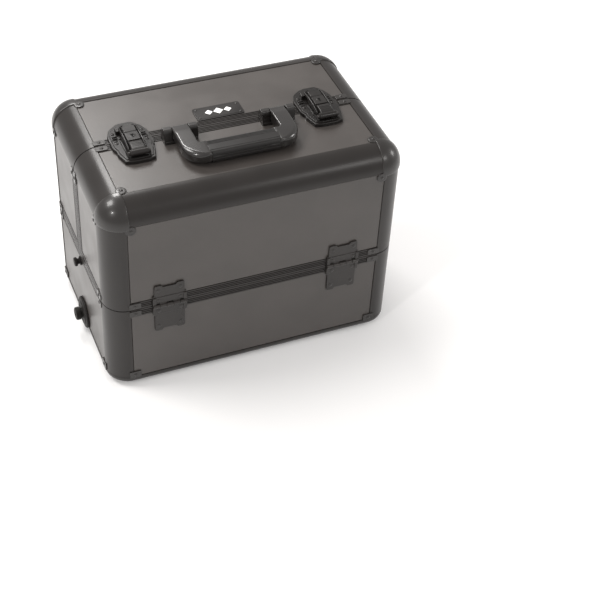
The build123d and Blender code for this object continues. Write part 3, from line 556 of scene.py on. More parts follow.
def base_panels():
    low, high = extent("base_side_panels")
    heights = (low[2] + EASE, high[2] - EASE)
    spans = ((low[0] + EASE, high[0] - EASE), (high[1] - PANEL_THICK, high[1]), heights)
    sides = ("side_skins", "side_panels", BOTH_SIDES, spans)
    low, high = extent("base_end_panels")
    spans = ((high[0] - PANEL_THICK, high[0]), (low[1] + EASE, high[1] - EASE), heights)
    skins("base", (sides, ("end_skins", "end_panels", BOTH_ENDS, spans)))

    low, high = extent("base_floor_panel")
    floor = Piece()
    floor.take(slab(*zip(low, high), 0.5, 3))
    for x in (-90, 0, 90):
        runner = slab((x - 7, x + 7), (low[1] + 12, high[1] - 12), (low[2] - 0.4, low[2] + 0.5), 0.35)
        floor.take(runner)
    floor.build("base_floor_skin", "base", "base_floor_panel", [PANEL])


def base_profiles():
    low, high = extent("base_corner_profiles")
    uprights = Piece()
    section = shifted(quarter(), CX, CY)
    uprights.take(prism(section, "z", low[2], high[2] - SHADOW, 0.35), ALL_CORNERS)
    uprights.build("base_round_uprights", "base", "base_corner_profiles", [PROFILE])

    rims = Piece()
    strip = strip_section(6.6, RIM - 0.2, GROOVES)
    x_span, y_span = (GAP - CX, CX - GAP), (GAP - CY, CY - GAP)
    rims.take(prism([(HY - d, BASE_TOP - w) for w, d in strip], "x", *x_span, 0.2), BOTH_SIDES)
    rims.take(prism([(HX - d, BASE_TOP - w) for w, d in strip], "y", *y_span, 0.2), BOTH_ENDS)
    rims.build("base_rim_strips", "base", "base_rim_profiles", [PROFILE])

    rail = rail_section()
    bottom = Piece()
    bottom.take(prism([(HY - d, z) for d, z in rail], "x", *x_span, 0.15), BOTH_SIDES)
    bottom.take(prism([(HX - d, z) for d, z in rail], "y", *y_span, 0.15), BOTH_ENDS)
    rings = []
    for a in steps_between(0, pi / 2, 14):
        ring = [(CX + (RADIUS - d) * cos(a), CY + (RADIUS - d) * sin(a), z) for d, z in rail]
        rings.append(ring)
    bottom.take(loft(rings), ALL_CORNERS)
    bottom.build("base_bottom_rail", "base", "base_bottom_profiles", [PROFILE])


def rail_section():
    """The bottom edge's section: (depth from the outer face, height), turned in below."""
    foot = BASE_BOTTOM
    turn_in = 9.0
    points = [(0.5, PROFILE_TOP), (0.12, PROFILE_TOP - 0.15), (0, PROFILE_TOP - 0.5), (0, foot + turn_in)]
    for a in steps_between(0, pi / 2, 8)[1:]:
        points.append((turn_in * (1 - cos(a)), foot + turn_in * (1 - sin(a))))
    points += [(RADIUS - 0.9, foot), (RADIUS - 0.5, foot + 0.4), (RADIUS - 0.5, foot + WALL)]
    return points + [(WALL, foot + WALL), (WALL, PROFILE_TOP)]


def base_fittings():
    tabs = Piece()
    places = [
        ((CX - 5, HY, BASE_TOP - 5.5), (0, 1, 0), (14, 8)),
        ((HX, CY - 5, BASE_TOP - 5.5), (1, 0, 0), (14, 8)),
        ((CX - 2, HY, PROFILE_TOP + 4), (0, 1, 0), (14, 10)),
        ((HX, CY - 2, PROFILE_TOP + 4), (1, 0, 0), (14, 10)),
    ]
    riveted_tabs(tabs, places, ALL_CORNERS)
    tabs.build("base_riveted_tabs", "base", "base_corner_tabs", [BALL, SCREW])

    leaves = Piece()
    leaf(leaves, ALL_CORNERS, -1)
    leaves.build("base_hinge_plates", "base", "base_hinge_leaves", [LEAF, SCREW])

    pins = Piece()
    length = 2 * PIN_HALF
    rod = [(0.1, 0), (0.1, 0.9), (0.5, PIN_RADIUS), (length - 0.5, PIN_RADIUS), (length - 0.1, 0.9)]
    rod.append((length - 0.1, 0))
    pins.take(turned(rod, (HINGE_X - PIN_HALF, HINGE_OUT, SEAM), (1, 0, 0), 20), ALL_CORNERS)
    pins.build("base_hinge_rods", "base", "hinge_pins", [SCREW])

    feet = Piece()
    foot = [(0, 0), (0, 3.2), (1.1, 3.6), (1.1, 4.2), (0, 4.8)]
    foot += [(0, 7.9), (0.35, 8.6), (1.1, 9), (3, 9), (3, 0)]
    foot_x, foot_y = 142, 80
    feet.take(turned(foot, (foot_x, foot_y, 0), (0, 0, 1), 36), ALL_CORNERS)
    feet.build("base_round_feet", "base", "base_feet", [RUBBER])


def base_studs():
    """The strap's round plate with its knob, and the bumper above it, at each end."""
    low, high = extent("strap_and_bumper_studs")
    tip = high[0] - HX
    plate_radius = 20
    bumper_radius = 5.5
    plate = [
        (-0.5, 0), (-0.5, 10.5), (0, 10.5), (0, plate_radius), (1.3, plate_radius), (2.3, 19.3),
        (2.8, 17.8), (2.9, 15.5), (3.8, 14.5), (4.0, 13.2), (4.0, 10.6),
    ]
    knob = [
        (3.5, 10.0), (3.5, 6.2), (tip - 6.4, 6.0), (tip - 6.0, 7.0), (tip - 5.6, 8), (tip - 1.6, 8),
        (tip - 0.5, 7.4), (tip, 6.2), (tip, 3.2), (tip - 0.8, 2.7), (tip - 1.0, 0),
    ]
    spool = [
        (-0.5, 0), (-0.5, 4.2), (0, bumper_radius), (0.9, bumper_radius), (1.4, 4.9), (1.7, 3.4),
        (3.7, 3.2), (4.2, 4.6), (4.8, 5.3), (7, 5.4), (7.8, 4.6), (8.0, 3), (8.0, 0),
    ]
    studs = Piece()
    studs.take(turned(plate + knob, (HX, 0, low[2] + plate_radius), (1, 0, 0), 48), BOTH_ENDS)
    studs.take(turned(spool, (HX, 0, high[2] - bumper_radius), (1, 0, 0), 36), BOTH_ENDS)
    studs.build("strap_studs_and_bumpers", "base", "strap_and_bumper_studs", [STUD])


# == Lining ==

RIB_PITCH = 6.0
FOAM_THICK = 5


def wave(t):
    """The foam's rounded ribs: 1 on a crest and 0 in a valley."""
    return 0.5 + 0.5 * cos(2 * pi * t / RIB_PITCH)


def rib_steps(low, high):
    """Eight steps to a rib between two ends."""
    return steps_between(low, high, int((high - low) / RIB_PITCH * 8))


def foam_wall(along, half, outer, bottom, top):
    """A ribbed sheet of foam along x or y, its ribs facing the middle of the case."""
    rings = []
    for t in rib_steps(-half, half):
        inner = outer - FOAM_THICK + 1.6 * (1 - wave(t))
        section = [(inner, bottom), (outer, bottom), (outer, top), (inner + 1.2, top), (inner, top - 1.2)]
        rings.append([(t, a, z) if along == "x" else (a, t, z) for a, z in section])
    return loft(rings)


def lining():
    low, high = extent("foam_liner")
    bottom, top = low[2], high[2]
    floor_top = bottom + 3
    end_top = top - 17
    liner = Piece()
    half_x, half_y = high[0] - FOAM_THICK, high[1] - FOAM_THICK
    floor = rectangle((-half_x, half_x), (-half_y, half_y), 22)
    liner.take(prism(floor, "z", bottom, floor_top, 0.6))
    liner.take(foam_wall("x", CX, high[1], floor_top, top), BOTH_SIDES)
    liner.take(foam_wall("y", CY, high[0], floor_top, end_top), BOTH_ENDS)
    liner.build("foam_lining", "base", "foam_liner", [FOAM], 60)

    low, high = extent("foam_dividers")
    walls = Piece()
    rings = []
    x = high[0] - FOAM_THICK
    scallop = 26.5
    for y in rib_steps(low[1], high[1]):
        half = FOAM_THICK - 1.3 * (1 - wave(y))
        crest = high[2] - 2.4 * (1 - abs(sin(pi * y / scallop)))
        rings.append([
            (x - half, y, low[2]), (x + half, y, low[2]), (x + half, y, crest - 1.6),
            (x + half - 0.6, y, crest - 0.5), (x + half - 1.7, y, crest), (x - half + 1.7, y, crest),
            (x - half + 0.6, y, crest - 0.5), (x - half, y, crest - 1.6),
        ])
    walls.take(loft(rings), BOTH_ENDS)
    walls.build("foam_divider_walls", "base", "foam_dividers", [FOAM], 60)


# == Trays ==

TRAY_WALL = 2.2
TRAY_CORNER = 3.0
TRAY_PITCH = 8.0
# Along a long wall, about each rib's middle: (offset, on a rib, in a notch).
TRAY_MARKS = (
    (-1.1, 0, 0), (-0.7, 1, 0), (0.7, 1, 0), (1.1, 0, 0),
    (2.9, 0, 0), (3.3, 0, 1), (4.7, 0, 1), (5.1, 0, 0),
)


def tray_side(y, outwards, reach):
    """One long side, as (point, outward normal, on a rib, in a notch)."""
    marks = []
    half = TRAY_PITCH / 2
    centre = half - TRAY_PITCH * int((reach + half) / TRAY_PITCH)
    while centre < reach:
        for offset, rib, notch in TRAY_MARKS:
            x = centre + offset
            if abs(x) < reach:
                marks.append((Vector((x, y)), Vector((0, outwards)), rib, notch))
        centre += TRAY_PITCH
    return marks if outwards < 0 else marks[::-1]


def tray_corner(x, y, start):
    turns = [radians(start + 90 * k / 5) for k in range(6)]
    normals = [Vector((cos(a), sin(a))) for a in turns]
    return [(Vector((x, y)) + normal * TRAY_CORNER, normal, 0, 0) for normal in normals]


def tray_tub(x_half, y_span, z_span):
    """A moulded tub: inner ribs along the long walls and a notched rim."""
    bottom, top = z_span
    corner_x = x_half - TRAY_CORNER
    corner_low, corner_high = y_span[0] + TRAY_CORNER, y_span[1] - TRAY_CORNER
    path = tray_side(y_span[0], -1, corner_x - 4)
    path += tray_corner(corner_x, corner_low, -90) + tray_corner(corner_x, corner_high, 0)
    path += tray_side(y_span[1], 1, corner_x - 4)
    path += tray_corner(-corner_x, corner_high, 90) + tray_corner(-corner_x, corner_low, 180)

    def ring(inset, height, rib_depth=0.0, notch_depth=0.0):
        points = []
        for spot, normal, rib, notch in path:
            p = spot - normal * (inset + rib * rib_depth)
            points.append((p.x, p.y, height - notch * notch_depth))
        return points

    notch = 1.6
    inside = TRAY_WALL
    return loft([
        ring(0.9, bottom), ring(0.25, bottom + 0.3), ring(0, bottom + 1.0), ring(0, top - 3.4),
        ring(0, top - 3.2), ring(0, top - 0.4, 0, notch), ring(0.4, top, 0, notch),
        ring(inside - 0.4, top, 0, notch), ring(inside, top - 0.4, 0, notch), ring(inside, top - 3.2),
        ring(inside, top - 4.4, 0.75), ring(inside, bottom + 3.2, 0.75),
        ring(inside + 0.3, bottom + 2.3, 0.45), ring(inside + 1.2, bottom + 2),
    ])


def depth_span(low, high):
    """A node's nearest and furthest distance from the split, whichever side it is on."""
    return tuple(sorted((abs(low[1]), abs(high[1]))))


def tray_set(name, side, level):
    node = f"{name}_tray_{level}"
    once = side_flips(side)[0]
    low, high = extent(node)
    near, far = depth_span(low, high)
    tub = Piece()
    tub.take(tray_tub(high[0], (near, far), (low[2], high[2])), once)
    tub.take(slab((4 - high[0], high[0] - 4), (near + 4, far - 4), (low[2] + 1, low[2] + 2.2), 0.3), once)
    tub.build(f"{node}_tub", node, node, [TRAY], 42)

    low, high = extent(f"{node}_dividers")
    near, far = depth_span(low, high)
    walls = Piece()
    for x in (low[0] + 0.8, high[0] - 0.8):
        walls.take(prism(shifted(divider_section(low[2], high[2]), x), "y", near, far, 0.2, 1), once)
        crest = (high[2] - 0.5, high[2] + 0.08)
        walls.take(slab((x - 0.7, x + 0.7), (near + 0.6, far - 0.6), crest, 0.2, 1), once, 1)
    walls.build(f"{node}_divider_plates", node, f"{node}_dividers", [TRAY, EDGE])


def divider_section(bottom, top):
    """A thin plate's section with fine grooves across both faces."""
    face = []
    z = bottom + 1.5
    while z < top - 4:
        face += [(0.8, z), (0.55, z + 0.35), (0.55, z + 0.75), (0.8, z + 1.1)]
        z += 3.0
    crest = [(0.8, top - 0.3), (0.5, top), (-0.5, top), (-0.8, top - 0.3)]
    return [(-0.8, bottom), (0.8, bottom)] + face + crest + [(-a, b) for a, b in face[::-1]]


ARM_LENGTH = 60.0
ARM_HALF = 5.0
ARM_THICK = 2.5
ARM_ANGLE = radians(116.2)
# The x of each level's arms: neighbours lie in two layers, so that they pass each other.
ARM_LAYERS = {1: 165.2, 2: 161.0, 3: 165.2}


def arm_outline(lower, upper):
    """A flat bar with round ends about its two pivots."""
    along = (upper - lower).normalized()
    across = Vector((-along.y, along.x))
    points = []
    for pivot, way in ((lower, 1), (upper, -1)):
        for a in steps_between(0, pi, 16):
            points.append(tuple(pivot + (across * cos(a) - along * sin(a)) * ARM_HALF * way))
    return points


def arm_pair(name, side, level, which):
    tray = f"{name}_tray_{level}"
    node = f"{tray}_{which}_arms"
    low, high = extent(node)
    layer = ARM_LAYERS[level]
    lower = Vector((depth_span(low, high)[1] - ARM_HALF, low[2] + ARM_HALF))
    upper = lower + Vector((cos(ARM_ANGLE), sin(ARM_ANGLE))) * ARM_LENGTH
    ends = side_flips(side)[1]
    arms = Piece()
    arms.take(prism(arm_outline(lower, upper), "x", layer, layer + ARM_THICK, 0.45), ends)
    # Rivets into the trays' end walls; the first tray's arms stand on the link brackets' pivots.
    inner = extent(tray)[1][0] - TRAY_WALL - 0.1
    reach = layer - inner + 0.5
    head = [(-1.2, 0), (-1.2, 2.2), (-0.9, 3.3), (-0.4, 3.9), (0, 4), (0, 2.2), (reach, 2.2), (reach, 0)]
    for spot in [upper] if level == 1 else [upper, lower]:
        arms.take(turned(head, (inner, spot.x, spot.y), (1, 0, 0), 24), ends, 1)
        arms.take(rivet((layer + ARM_THICK, spot.x, spot.y), (1, 0, 0), 3.0, 0.8, 20), ends, 1)
    if level == 1:
        shank = [(0, 0), (0, 2.4), (3.7, 2.4), (3.7, 0)]
        arms.take(turned(shank, (layer + 2, lower.x, lower.y), (1, 0, 0), 20), ends, 1)
    arms.build(f"{tray}_{which}_links", f"{name}_arms_{level}_{which}", node, [STEEL, RIVET])


def brackets():
    low, high = extent("link_brackets")
    inside = high[0] - 2.4
    cut = 8
    near, far = (low[1], high[1]), (low[1] + cut, high[1] - cut)
    outline = rounded([
        (near[0], low[2] + cut, 3), (far[0], low[2], 3), (far[1], low[2], 3), (near[1], low[2] + cut, 3),
        (near[1], high[2] - cut, 3), (far[1], high[2], 3), (far[0], high[2], 3), (near[0], high[2] - cut, 3),
    ])
    plates = Piece()
    plates.take(prism(outline, "x", inside, high[0], 0.5), BOTH_ENDS)
    rib = rectangle((-60, 60), (high[2] - 16, high[2] - 11), 2.4)
    plates.take(prism(rib, "x", inside - 0.7, inside + 0.4, 0.5, 3), BOTH_ENDS)
    for y in (-70, -24, 24, 70):
        plates.take(rivet((inside, y, low[2] + 6), (-1, 0, 0), 2.6, 0.9), BOTH_ENDS, 1)
    plates.build("link_bracket_plates", "base", "link_brackets", [STEEL, RIVET])


# == Latches, handle and nameplate ==

PLATE_LOW, PLATE_HIGH = extent("latch_base_plates")
PLATE_HALF = 24.0
LATCH = PLATE_HIGH[0] - PLATE_HALF
LEVER_LOW, LEVER_HIGH = extent("latch_lever_right")
LEVER_FRONT, LEVER_BACK = LEVER_LOW[1], LEVER_HIGH[1]
PIVOT_Y = LEVER_FRONT + 4.2
PIVOT_Z = TOP + 9.5
# The lever's cross pieces are built about x = 0 and shifted to their latch.
LEVER_HALF = 10.7


def on_top(piece, outline, bottom, top, bevel, segments, only_end=True, flips=BOTH_ENDS):
    """Take a plate that stands on the case's top, between two heights above it."""
    piece.take(prism(outline, "z", TOP + bottom, TOP + top, bevel, segments, only_end), flips)


def side_plate(piece, outline, x, ends, bevel, segments, flips=ONCE):
    """Take a plate seen from the side, its heights above the case's top; ends are measured from x."""
    start, end = sorted(x + end for end in ends)
    piece.take(prism(shifted(outline, 0, TOP), "x", start, end, bevel, segments), flips)


def latch_plate():
    plate = Piece()
    front = PLATE_LOW[1]
    outer = rounded(symmetric([
        (-PLATE_HALF, -0.3, 0.8), (-PLATE_HALF, -13.5, 2.5), (-21.4, -19.5, 4), (-21.6, -25, 2.5),
        (-18, front + 6.2, 2), (-17.4, front + 2.4, 1.6), (-9, front + 0.2, 12),
    ]), 5)
    inner = rounded(symmetric([
        (-21.6, -1.2, 0.8), (-21.6, -13.2, 2.5), (-19.2, -19.4, 4), (-19.3, -24.5, 2.5),
        (-15.8, front + 7.2, 2), (-15.2, front + 5.0, 1.6), (-8, front + 3.2, 11),
    ]), 5)
    on_top(plate, shifted(outer, LATCH), -0.5, 3.6, 1.0, 3)
    on_top(plate, shifted(inner, LATCH), 2.8, 4.6, 0.7, 3)
    ear = rounded([
        (PIVOT_Y - 2.6, 2.5, 1), (PIVOT_Y - 2.4, 7.6, 2.4), (PIVOT_Y + 3.0, 8.2, 2.2), (PIVOT_Y + 11, 6.0, 5),
        (-6, 6.0, 2), (-3.5, 2.5, 0.5),
    ], 5)
    for across in (-1, 1):
        side_plate(plate, ear, LATCH, (across * 11.15, across * 13.2), 0.6, 3, BOTH_ENDS)
        screw = rivet((LATCH + across * 17.6, -8.0, TOP + 4.6), (0, 0, 1), 2.1, 0.9, shape=DIMPLED)
        plate.take(screw, BOTH_ENDS, 1)
        rib = rectangle((LATCH + across * 15.4, LATCH + across * 19.6), (-4.4, -2.6), 0.6, 3)
        on_top(plate, rib, 4.0, 5.4, 0.5, 2)
    pin = [(0, 0), (0, 2), (26, 2), (26, 0)]
    plate.take(turned(pin, (LATCH - 13, PIVOT_Y, PIVOT_Z), (1, 0, 0), 20), BOTH_ENDS, 1)
    plate.build("latch_plates", "front_lid", "latch_base_plates", [HARDWARE, SCREW])


def lever_frame(lever, x):
    """The spine and the two side rails, seen from the side, and the bow that joins them at the back."""
    back = LEVER_BACK
    spine = rounded([
        (PIVOT_Y - 1, 6.4, 1.0), (-3.0, 6.4, 1.2), (-1.6, 9.7, 1.0), (back - 1.8, 9.7, 1.2),
        (back - 1.8, 11.6, 1.2), (back - 6, 12.4, 2.0), (PIVOT_Y - 1, 12.4, 2.0),
    ], 5)
    side_plate(lever, spine, x, (-7.6, 7.6), 0.5, 2)
    rail = rounded([
        (PIVOT_Y + 6, 6.2, 1.5), (-3.2, 6.2, 1.2), (-1.8, 9.7, 1.0), (back - 4, 9.7, 0.9),
        (back - 4, 12.2, 1.2), (-2, 13.4, 9), (-16, 12.8, 20), (PIVOT_Y + 6, 10.4, 2.5),
    ])
    for across in (-1, 1):
        side_plate(lever, rail, x, (across * 8.6, across * LEVER_HALF), 0.9, 4)
    bow = rounded(symmetric([
        (-8.6, back, 3.5), (-LEVER_HALF, back - 5, 0.6), (-8.6, back - 5, 0.6), (-7.2, back - 2.6, 2.2),
    ]), 6)
    on_top(lever, shifted(bow, x), 9.7, 12.3, 0.9, 4, False, ONCE)


def lever_pads(lever, x):
    """The back pad, and the lock plate with its ring and a keyhole painted as dark shade on its face."""
    back = LEVER_BACK
    pad = rounded(symmetric([(7.2, -1.6, 1.0), (7.2, back - 5.4, 3.6), (3.2, back - 3, 3.0)]), 5)
    on_top(lever, shifted(pad, x), 11.6, 13.6, 0.7, 3, False, ONCE)
    lock = rectangle((x - 7.4, x + 7.4), (-17.6, -2.4), 1.0)
    on_top(lever, lock, 11.6, 13.8, 0.45, 2, False, ONCE)
    ring = [(0, 0), (0, 3.3), (0.2, 3.3), (0.32, 3.1), (0.32, 2.6), (0.05, 2.3), (0.02, 0)]
    lever.take(turned(ring, (x, -9.6, TOP + 13.64), (0, 0, 1), 28))
    # The keyhole's slot and round eye are thin near-black sheets on the lock plate: painted shade where the
    # hole would be.
    keyhole = rounded(symmetric([(0.9, -13.4, 0.3), (0.9, -9.2, 0.2)]), 3)
    lever.take(prism(shifted(keyhole, x), "z", TOP + 13.3, TOP + 13.94, 0.08, 1), slot=2)
    eye = [(0, 0), (0, 1.6), (0.62, 1.6), (0.64, 0)]
    lever.take(turned(eye, (x, -8.6, TOP + 13.3), (0, 0, 1), 20), slot=2)


def lever_thumb(lever, x):
    """The front pad that a thumb lifts, with its barrel and its grip ribs."""
    front = LEVER_FRONT
    bow_start = -31
    rings = []
    # The pad's stations from back to front: y, half width, and height above the case's top.
    stations = [
        (-18.6, 7.0, 12.0), (-18.9, 7.3, 13.0), (-19.6, 7.5, 13.5), (-22.0, 7.6, 13.7), (-26, 7.7, 13.8),
        (-30, 7.9, 13.8), (-33.5, 8.2, 13.5), (-36.2, 8.5, 12.8), (-38.0, 8.6, 11.9),
        (front + 0.5, 8.5, 11.0), (front, 8.2, 10.4),
    ]
    for y, half, crest in stations:
        bow = max(0.0, bow_start - y) * 0.24
        low, high = TOP + 8.4, TOP + crest
        outline = rounded([(-half, low, 0.6), (half, low, 0.6), (half, high, 1.2), (-half, high, 1.2)], 3)
        rings.append([(x + a, y + bow * (a / half) ** 2, b) for a, b in outline])
    lever.take(loft(rings))
    length = 2 * LEVER_HALF
    barrel = [(0, 0), (0, 3.2), (0.5, 3.7), (length - 0.5, 3.7), (length, 3.2), (length, 0)]
    lever.take(turned(barrel, (x - LEVER_HALF, PIVOT_Y, PIVOT_Z), (1, 0, 0), 28))
    for y in (-29.4, -26.8, -24.2):
        rib = rectangle((x - 5.8, x + 5.8), (y - 0.4, y + 0.4), 0.35)
        on_top(lever, rib, 13.2, 14, 0.22, 2, False, ONCE)


def latch_lever(side, x):
    lever = Piece()
    lever_frame(lever, x)
    lever_pads(lever, x)
    lever_thumb(lever, x)
    node = f"latch_lever_{side}"
    lever.build(f"latch_{side}_lever", f"latch_{side}", node, [HARDWARE, SCREW, KEYHOLE_SHADE])


def latch_keeper():
    keeper = Piece()
    back = extent("latch_keepers")[1][1]
    # Half an outline and its corners' steps; bottom and top above the case; bevel and its segments.
    layers = (
        ([(23.5, 0.3, 0.8), (23.5, 11, 8), (18.5, 23, 9), (8, back, 10)], 6, -0.5, 2.2, 0.9, 3),
        ([(20.8, 1.2, 0.8), (20.8, 11, 7), (16.2, 21.2, 8), (7, back - 2.8, 9)], 6, 1.6, 3.0, 0.6, 3),
        ([(9, 9.7, 0.8), (9, 14.3, 1.6)], 4, 2, 8.9, 1.4, 3),
        ([(13.4, 10.4, 1.0), (13.0, 19.0, 4.0), (8, 25, 5.5)], 5, 2, 7.4, 2.0, 4),
    )
    for half, steps, bottom, top, bevel, segments in layers:
        outline = shifted(rounded(symmetric(half), steps), LATCH)
        on_top(keeper, outline, bottom, top, bevel, segments)
    for across in (-1, 1):
        for y in (3.2, 6.4):
            bar = rectangle((LATCH + across * 13.4, LATCH + across * 19.4), (y - 0.8, y + 0.8), 0.7, 3)
            on_top(keeper, bar, 2.5, 4.2, 0.6, 2)
        screw = rivet((LATCH + across * 17.0, 12.6, TOP + 3), (0, 0, 1), 2.1, 0.9, shape=DIMPLED)
        keeper.take(screw, BOTH_ENDS, 1)
    keeper.build("latch_keeper_plates", "back_lid", "latch_keepers", [HARDWARE, SCREW])


def badge():
    """The nameplate: a raised field with three diamonds in place of lettering."""
    low, high = extent("nameplate")
    centre = (low[1] + high[1]) / 2
    border = 2.0
    inset = 4.0
    plate = Piece()
    outline = rectangle((low[0], high[0]), (low[1], high[1]), 3.0)
    plate.take(prism(outline, "z", low[2] - 0.2, high[2] - 0.6, 0.35, 2, True))
    field = rectangle((low[0] + border, high[0] - border), (low[1] + border, high[1] - border), 2.0)
    plate.take(prism(field, "z", high[2] - 0.9, high[2] - 0.35, 0.25, 2, True))
    for x in (low[0] + inset, high[0] - inset):
        for y in (low[1] + inset, high[1] - inset):
            plate.take(rivet((x, y, high[2] - 0.4), (0, 0, 1), 1.5, 0.7, 16), slot=1)
    for x, reach in ((-11.5, 4.4), (0, 5.6), (11.5, 4.4)):
        tips = [(-reach * 1.05, 0), (0, -reach), (reach * 1.05, 0), (0, reach)]
        diamond = rounded([(x + a, centre + b, 0.3) for a, b in tips], 3)
        plate.take(prism(diamond, "z", high[2] - 0.5, high[2] - 0.05, 0.12, 1, True), slot=2)
    plate.build("name_plate_badge", "back_lid", "nameplate", [HARDWARE, SCREW, MOTIF])


BOW_LOW, BOW_HIGH = extent("handle_frame")
GRIP_HIGH = extent("handle_grip")[1]
EYE = 6.5
EYE_Y = BOW_HIGH[1] - EYE
EYE_Z = TOP + 10
ARM_OUT = BOW_HIGH[0]
ARM_IN = ARM_OUT - 19.4


def bow_section(inner, outer, z_low, z_high, top_round, bottom_round):
    """A rounded section between two plan points, its top falling slightly outwards."""
    inner, outer = Vector(inner), Vector(outer)
    width = (outer - inner).length
    outline = rounded([
        (0, z_low, bottom_round * 0.7), (width, z_low, bottom_round), (width, z_high - 0.5, top_round),
        (0, z_high, top_round * 0.5),
    ])
    return [tuple(inner.lerp(outer, a / width)) + (b,) for a, b in outline]


def eye_rings():
    """The arm's round end about its pivot, and the stretch that flattens into the bow."""
    rings = []
    for k in range(6, 0, -1):
        a = radians(86 * k / 6)
        y = EYE_Y + EYE * sin(a)
        half = EYE * cos(a)
        soft = min(2.0, half * 0.5)
        ends = (ARM_IN + 0.3, y), (ARM_OUT - 0.3, y)
        rings.append(bow_section(*ends, EYE_Z - half, EYE_Z + half, soft, soft))
    middle = (ARM_IN + 0.2, EYE_Y), (ARM_OUT - 0.2, EYE_Y)
    rings.append(bow_section(*middle, EYE_Z - EYE, EYE_Z + EYE, 2.0, 2.0))
    # How far in front of the pivot, and how much of the bow's height is reached there.
    for drop, share in ((2.5, 0.12), (5.5, 0.45), (8.0, 0.8), (11.0, 1.0)):
        z_low = EYE_Z - EYE + (BOW_LOW[2] - EYE_Z + EYE) * share
        z_high = EYE_Z + EYE + (BOW_HIGH[2] - EYE_Z - EYE) * share
        y = EYE_Y - drop
        rings.append(bow_section((ARM_IN, y), (ARM_OUT, y), z_low, z_high, 2.0 + share, 2.0 + 2.4 * share))
    return rings


def handle_bow():
    front = BOW_LOW[1]
    grip_back = GRIP_HIGH[1]
    bottom, top = BOW_LOW[2], BOW_HIGH[2]
    outer_round, inner_round = 24.0, 5.0
    outer_centre = Vector((ARM_OUT - outer_round, front + outer_round))
    inner_centre = Vector((ARM_IN - inner_round, grip_back + inner_round))
    rings = eye_rings()
    for y_out, y_in in ((-31, -30), (-38, -37)):
        rings.append(bow_section((ARM_IN, y_in), (ARM_OUT, y_out), bottom, top, 3.0, 4.4))
    for a in steps_between(0, -pi / 2, 16):
        direction = Vector((cos(a), sin(a)))
        inner = inner_centre + direction * inner_round
        outer = outer_centre + direction * outer_round
        rings.append(bow_section(inner, outer, bottom, top, 3.0 - 3.4 * sin(2 * a), 4.4))
    sink = 0.7
    rings.append(bow_section((39.6, grip_back), (41.0, front), bottom, top, 3.0, 4.4))
    last = (38.9, grip_back - sink), (40.2, front + sink)
    rings.append(bow_section(*last, bottom + sink, top - sink, 3.0, 4.0))
    mirrored = [[(-p[0], p[1], p[2]) for p in ring] for ring in rings[::-1]]
    bow = Piece()
    bow.take(loft(rings + mirrored))
    bow.build("handle_bow", "handle", "handle_frame", [HANDLE], 50)


def grooved(start, end, outwards, grooves):
    """A straight side with notches across it, at shares of its length."""
    start, end, outwards = Vector(start), Vector(end), Vector(outwards)
    line = end - start
    points = [start]
    for at in grooves:
        for offset, deep in ((-0.75, 0), (-0.3, 0.55), (0.3, 0.55), (0.75, 0)):
            points.append(start + line * (at + offset / line.length) - outwards * deep)
    points.append(end)
    return [tuple(p) for p in points]


def grip_outline():
    """The grip's section in y and z: rounded corners and shallow grooves along it."""
    corner = 3.2
    front, back = BOW_LOW[1], GRIP_HIGH[1]
    bottom, top = BOW_LOW[2], BOW_HIGH[2]

    def bend(y, z, start):
        turns = steps_between(radians(start), radians(start + 90), 7)[1:-1]
        return [(y + corner * cos(a), z + corner * sin(a)) for a in turns]

    outline = grooved((front, top - corner), (front, bottom + corner), (-1, 0), (0.3, 0.7))
    outline += bend(front + corner, bottom + corner, 180)
    outline += grooved((front + corner, bottom), (back - corner, bottom), (0, -1), (0.2, 0.4, 0.6, 0.8))
    outline += bend(back - corner, bottom + corner, 270)
    outline += grooved((back, bottom + corner), (back, top - corner), (1, 0), (0.5,))
    outline += bend(back - corner, top - corner, 0)
    outline += grooved((back - corner, top), (front + corner, top), (0, 1), (0.05, 0.17, 0.29, 0.9))
    return outline + bend(front + corner, top - corner, 90)


def handle_grip():
    """A grooved sleeve round the bow, its ends curved inwards at the front and the back."""
    outline = grip_outline()
    middle_y = (BOW_LOW[1] + GRIP_HIGH[1]) / 2
    middle_z = (BOW_LOW[2] + BOW_HIGH[2]) / 2
    half_depth = GRIP_HIGH[1] - middle_y
    half_height = BOW_HIGH[2] - middle_z
    half = GRIP_HIGH[0]
    stations = [(30, 0), (half - 0.5, 0), (half - 0.15, 0.25), (half, 0.75)]
    stations = [(-x, inset) for x, inset in stations[::-1]] + [(-10, 0), (10, 0)] + stations
    rings = []
    for x, inset in stations:
        ring = []
        for y, z in outline:
            share = (y - middle_y) / half_depth
            end_x = x - copysign(2.4 * share**2, x)
            shrunk_y = middle_y + (y - middle_y) * (1 - inset / half_depth)
            ring.append((end_x, shrunk_y, middle_z + (z - middle_z) * (1 - inset / half_height)))
        rings.append(ring)
    grip = Piece()
    grip.take(loft(rings))
    grip.build("handle_grip_sleeve", "handle", "handle_grip", [GRIP], 40)


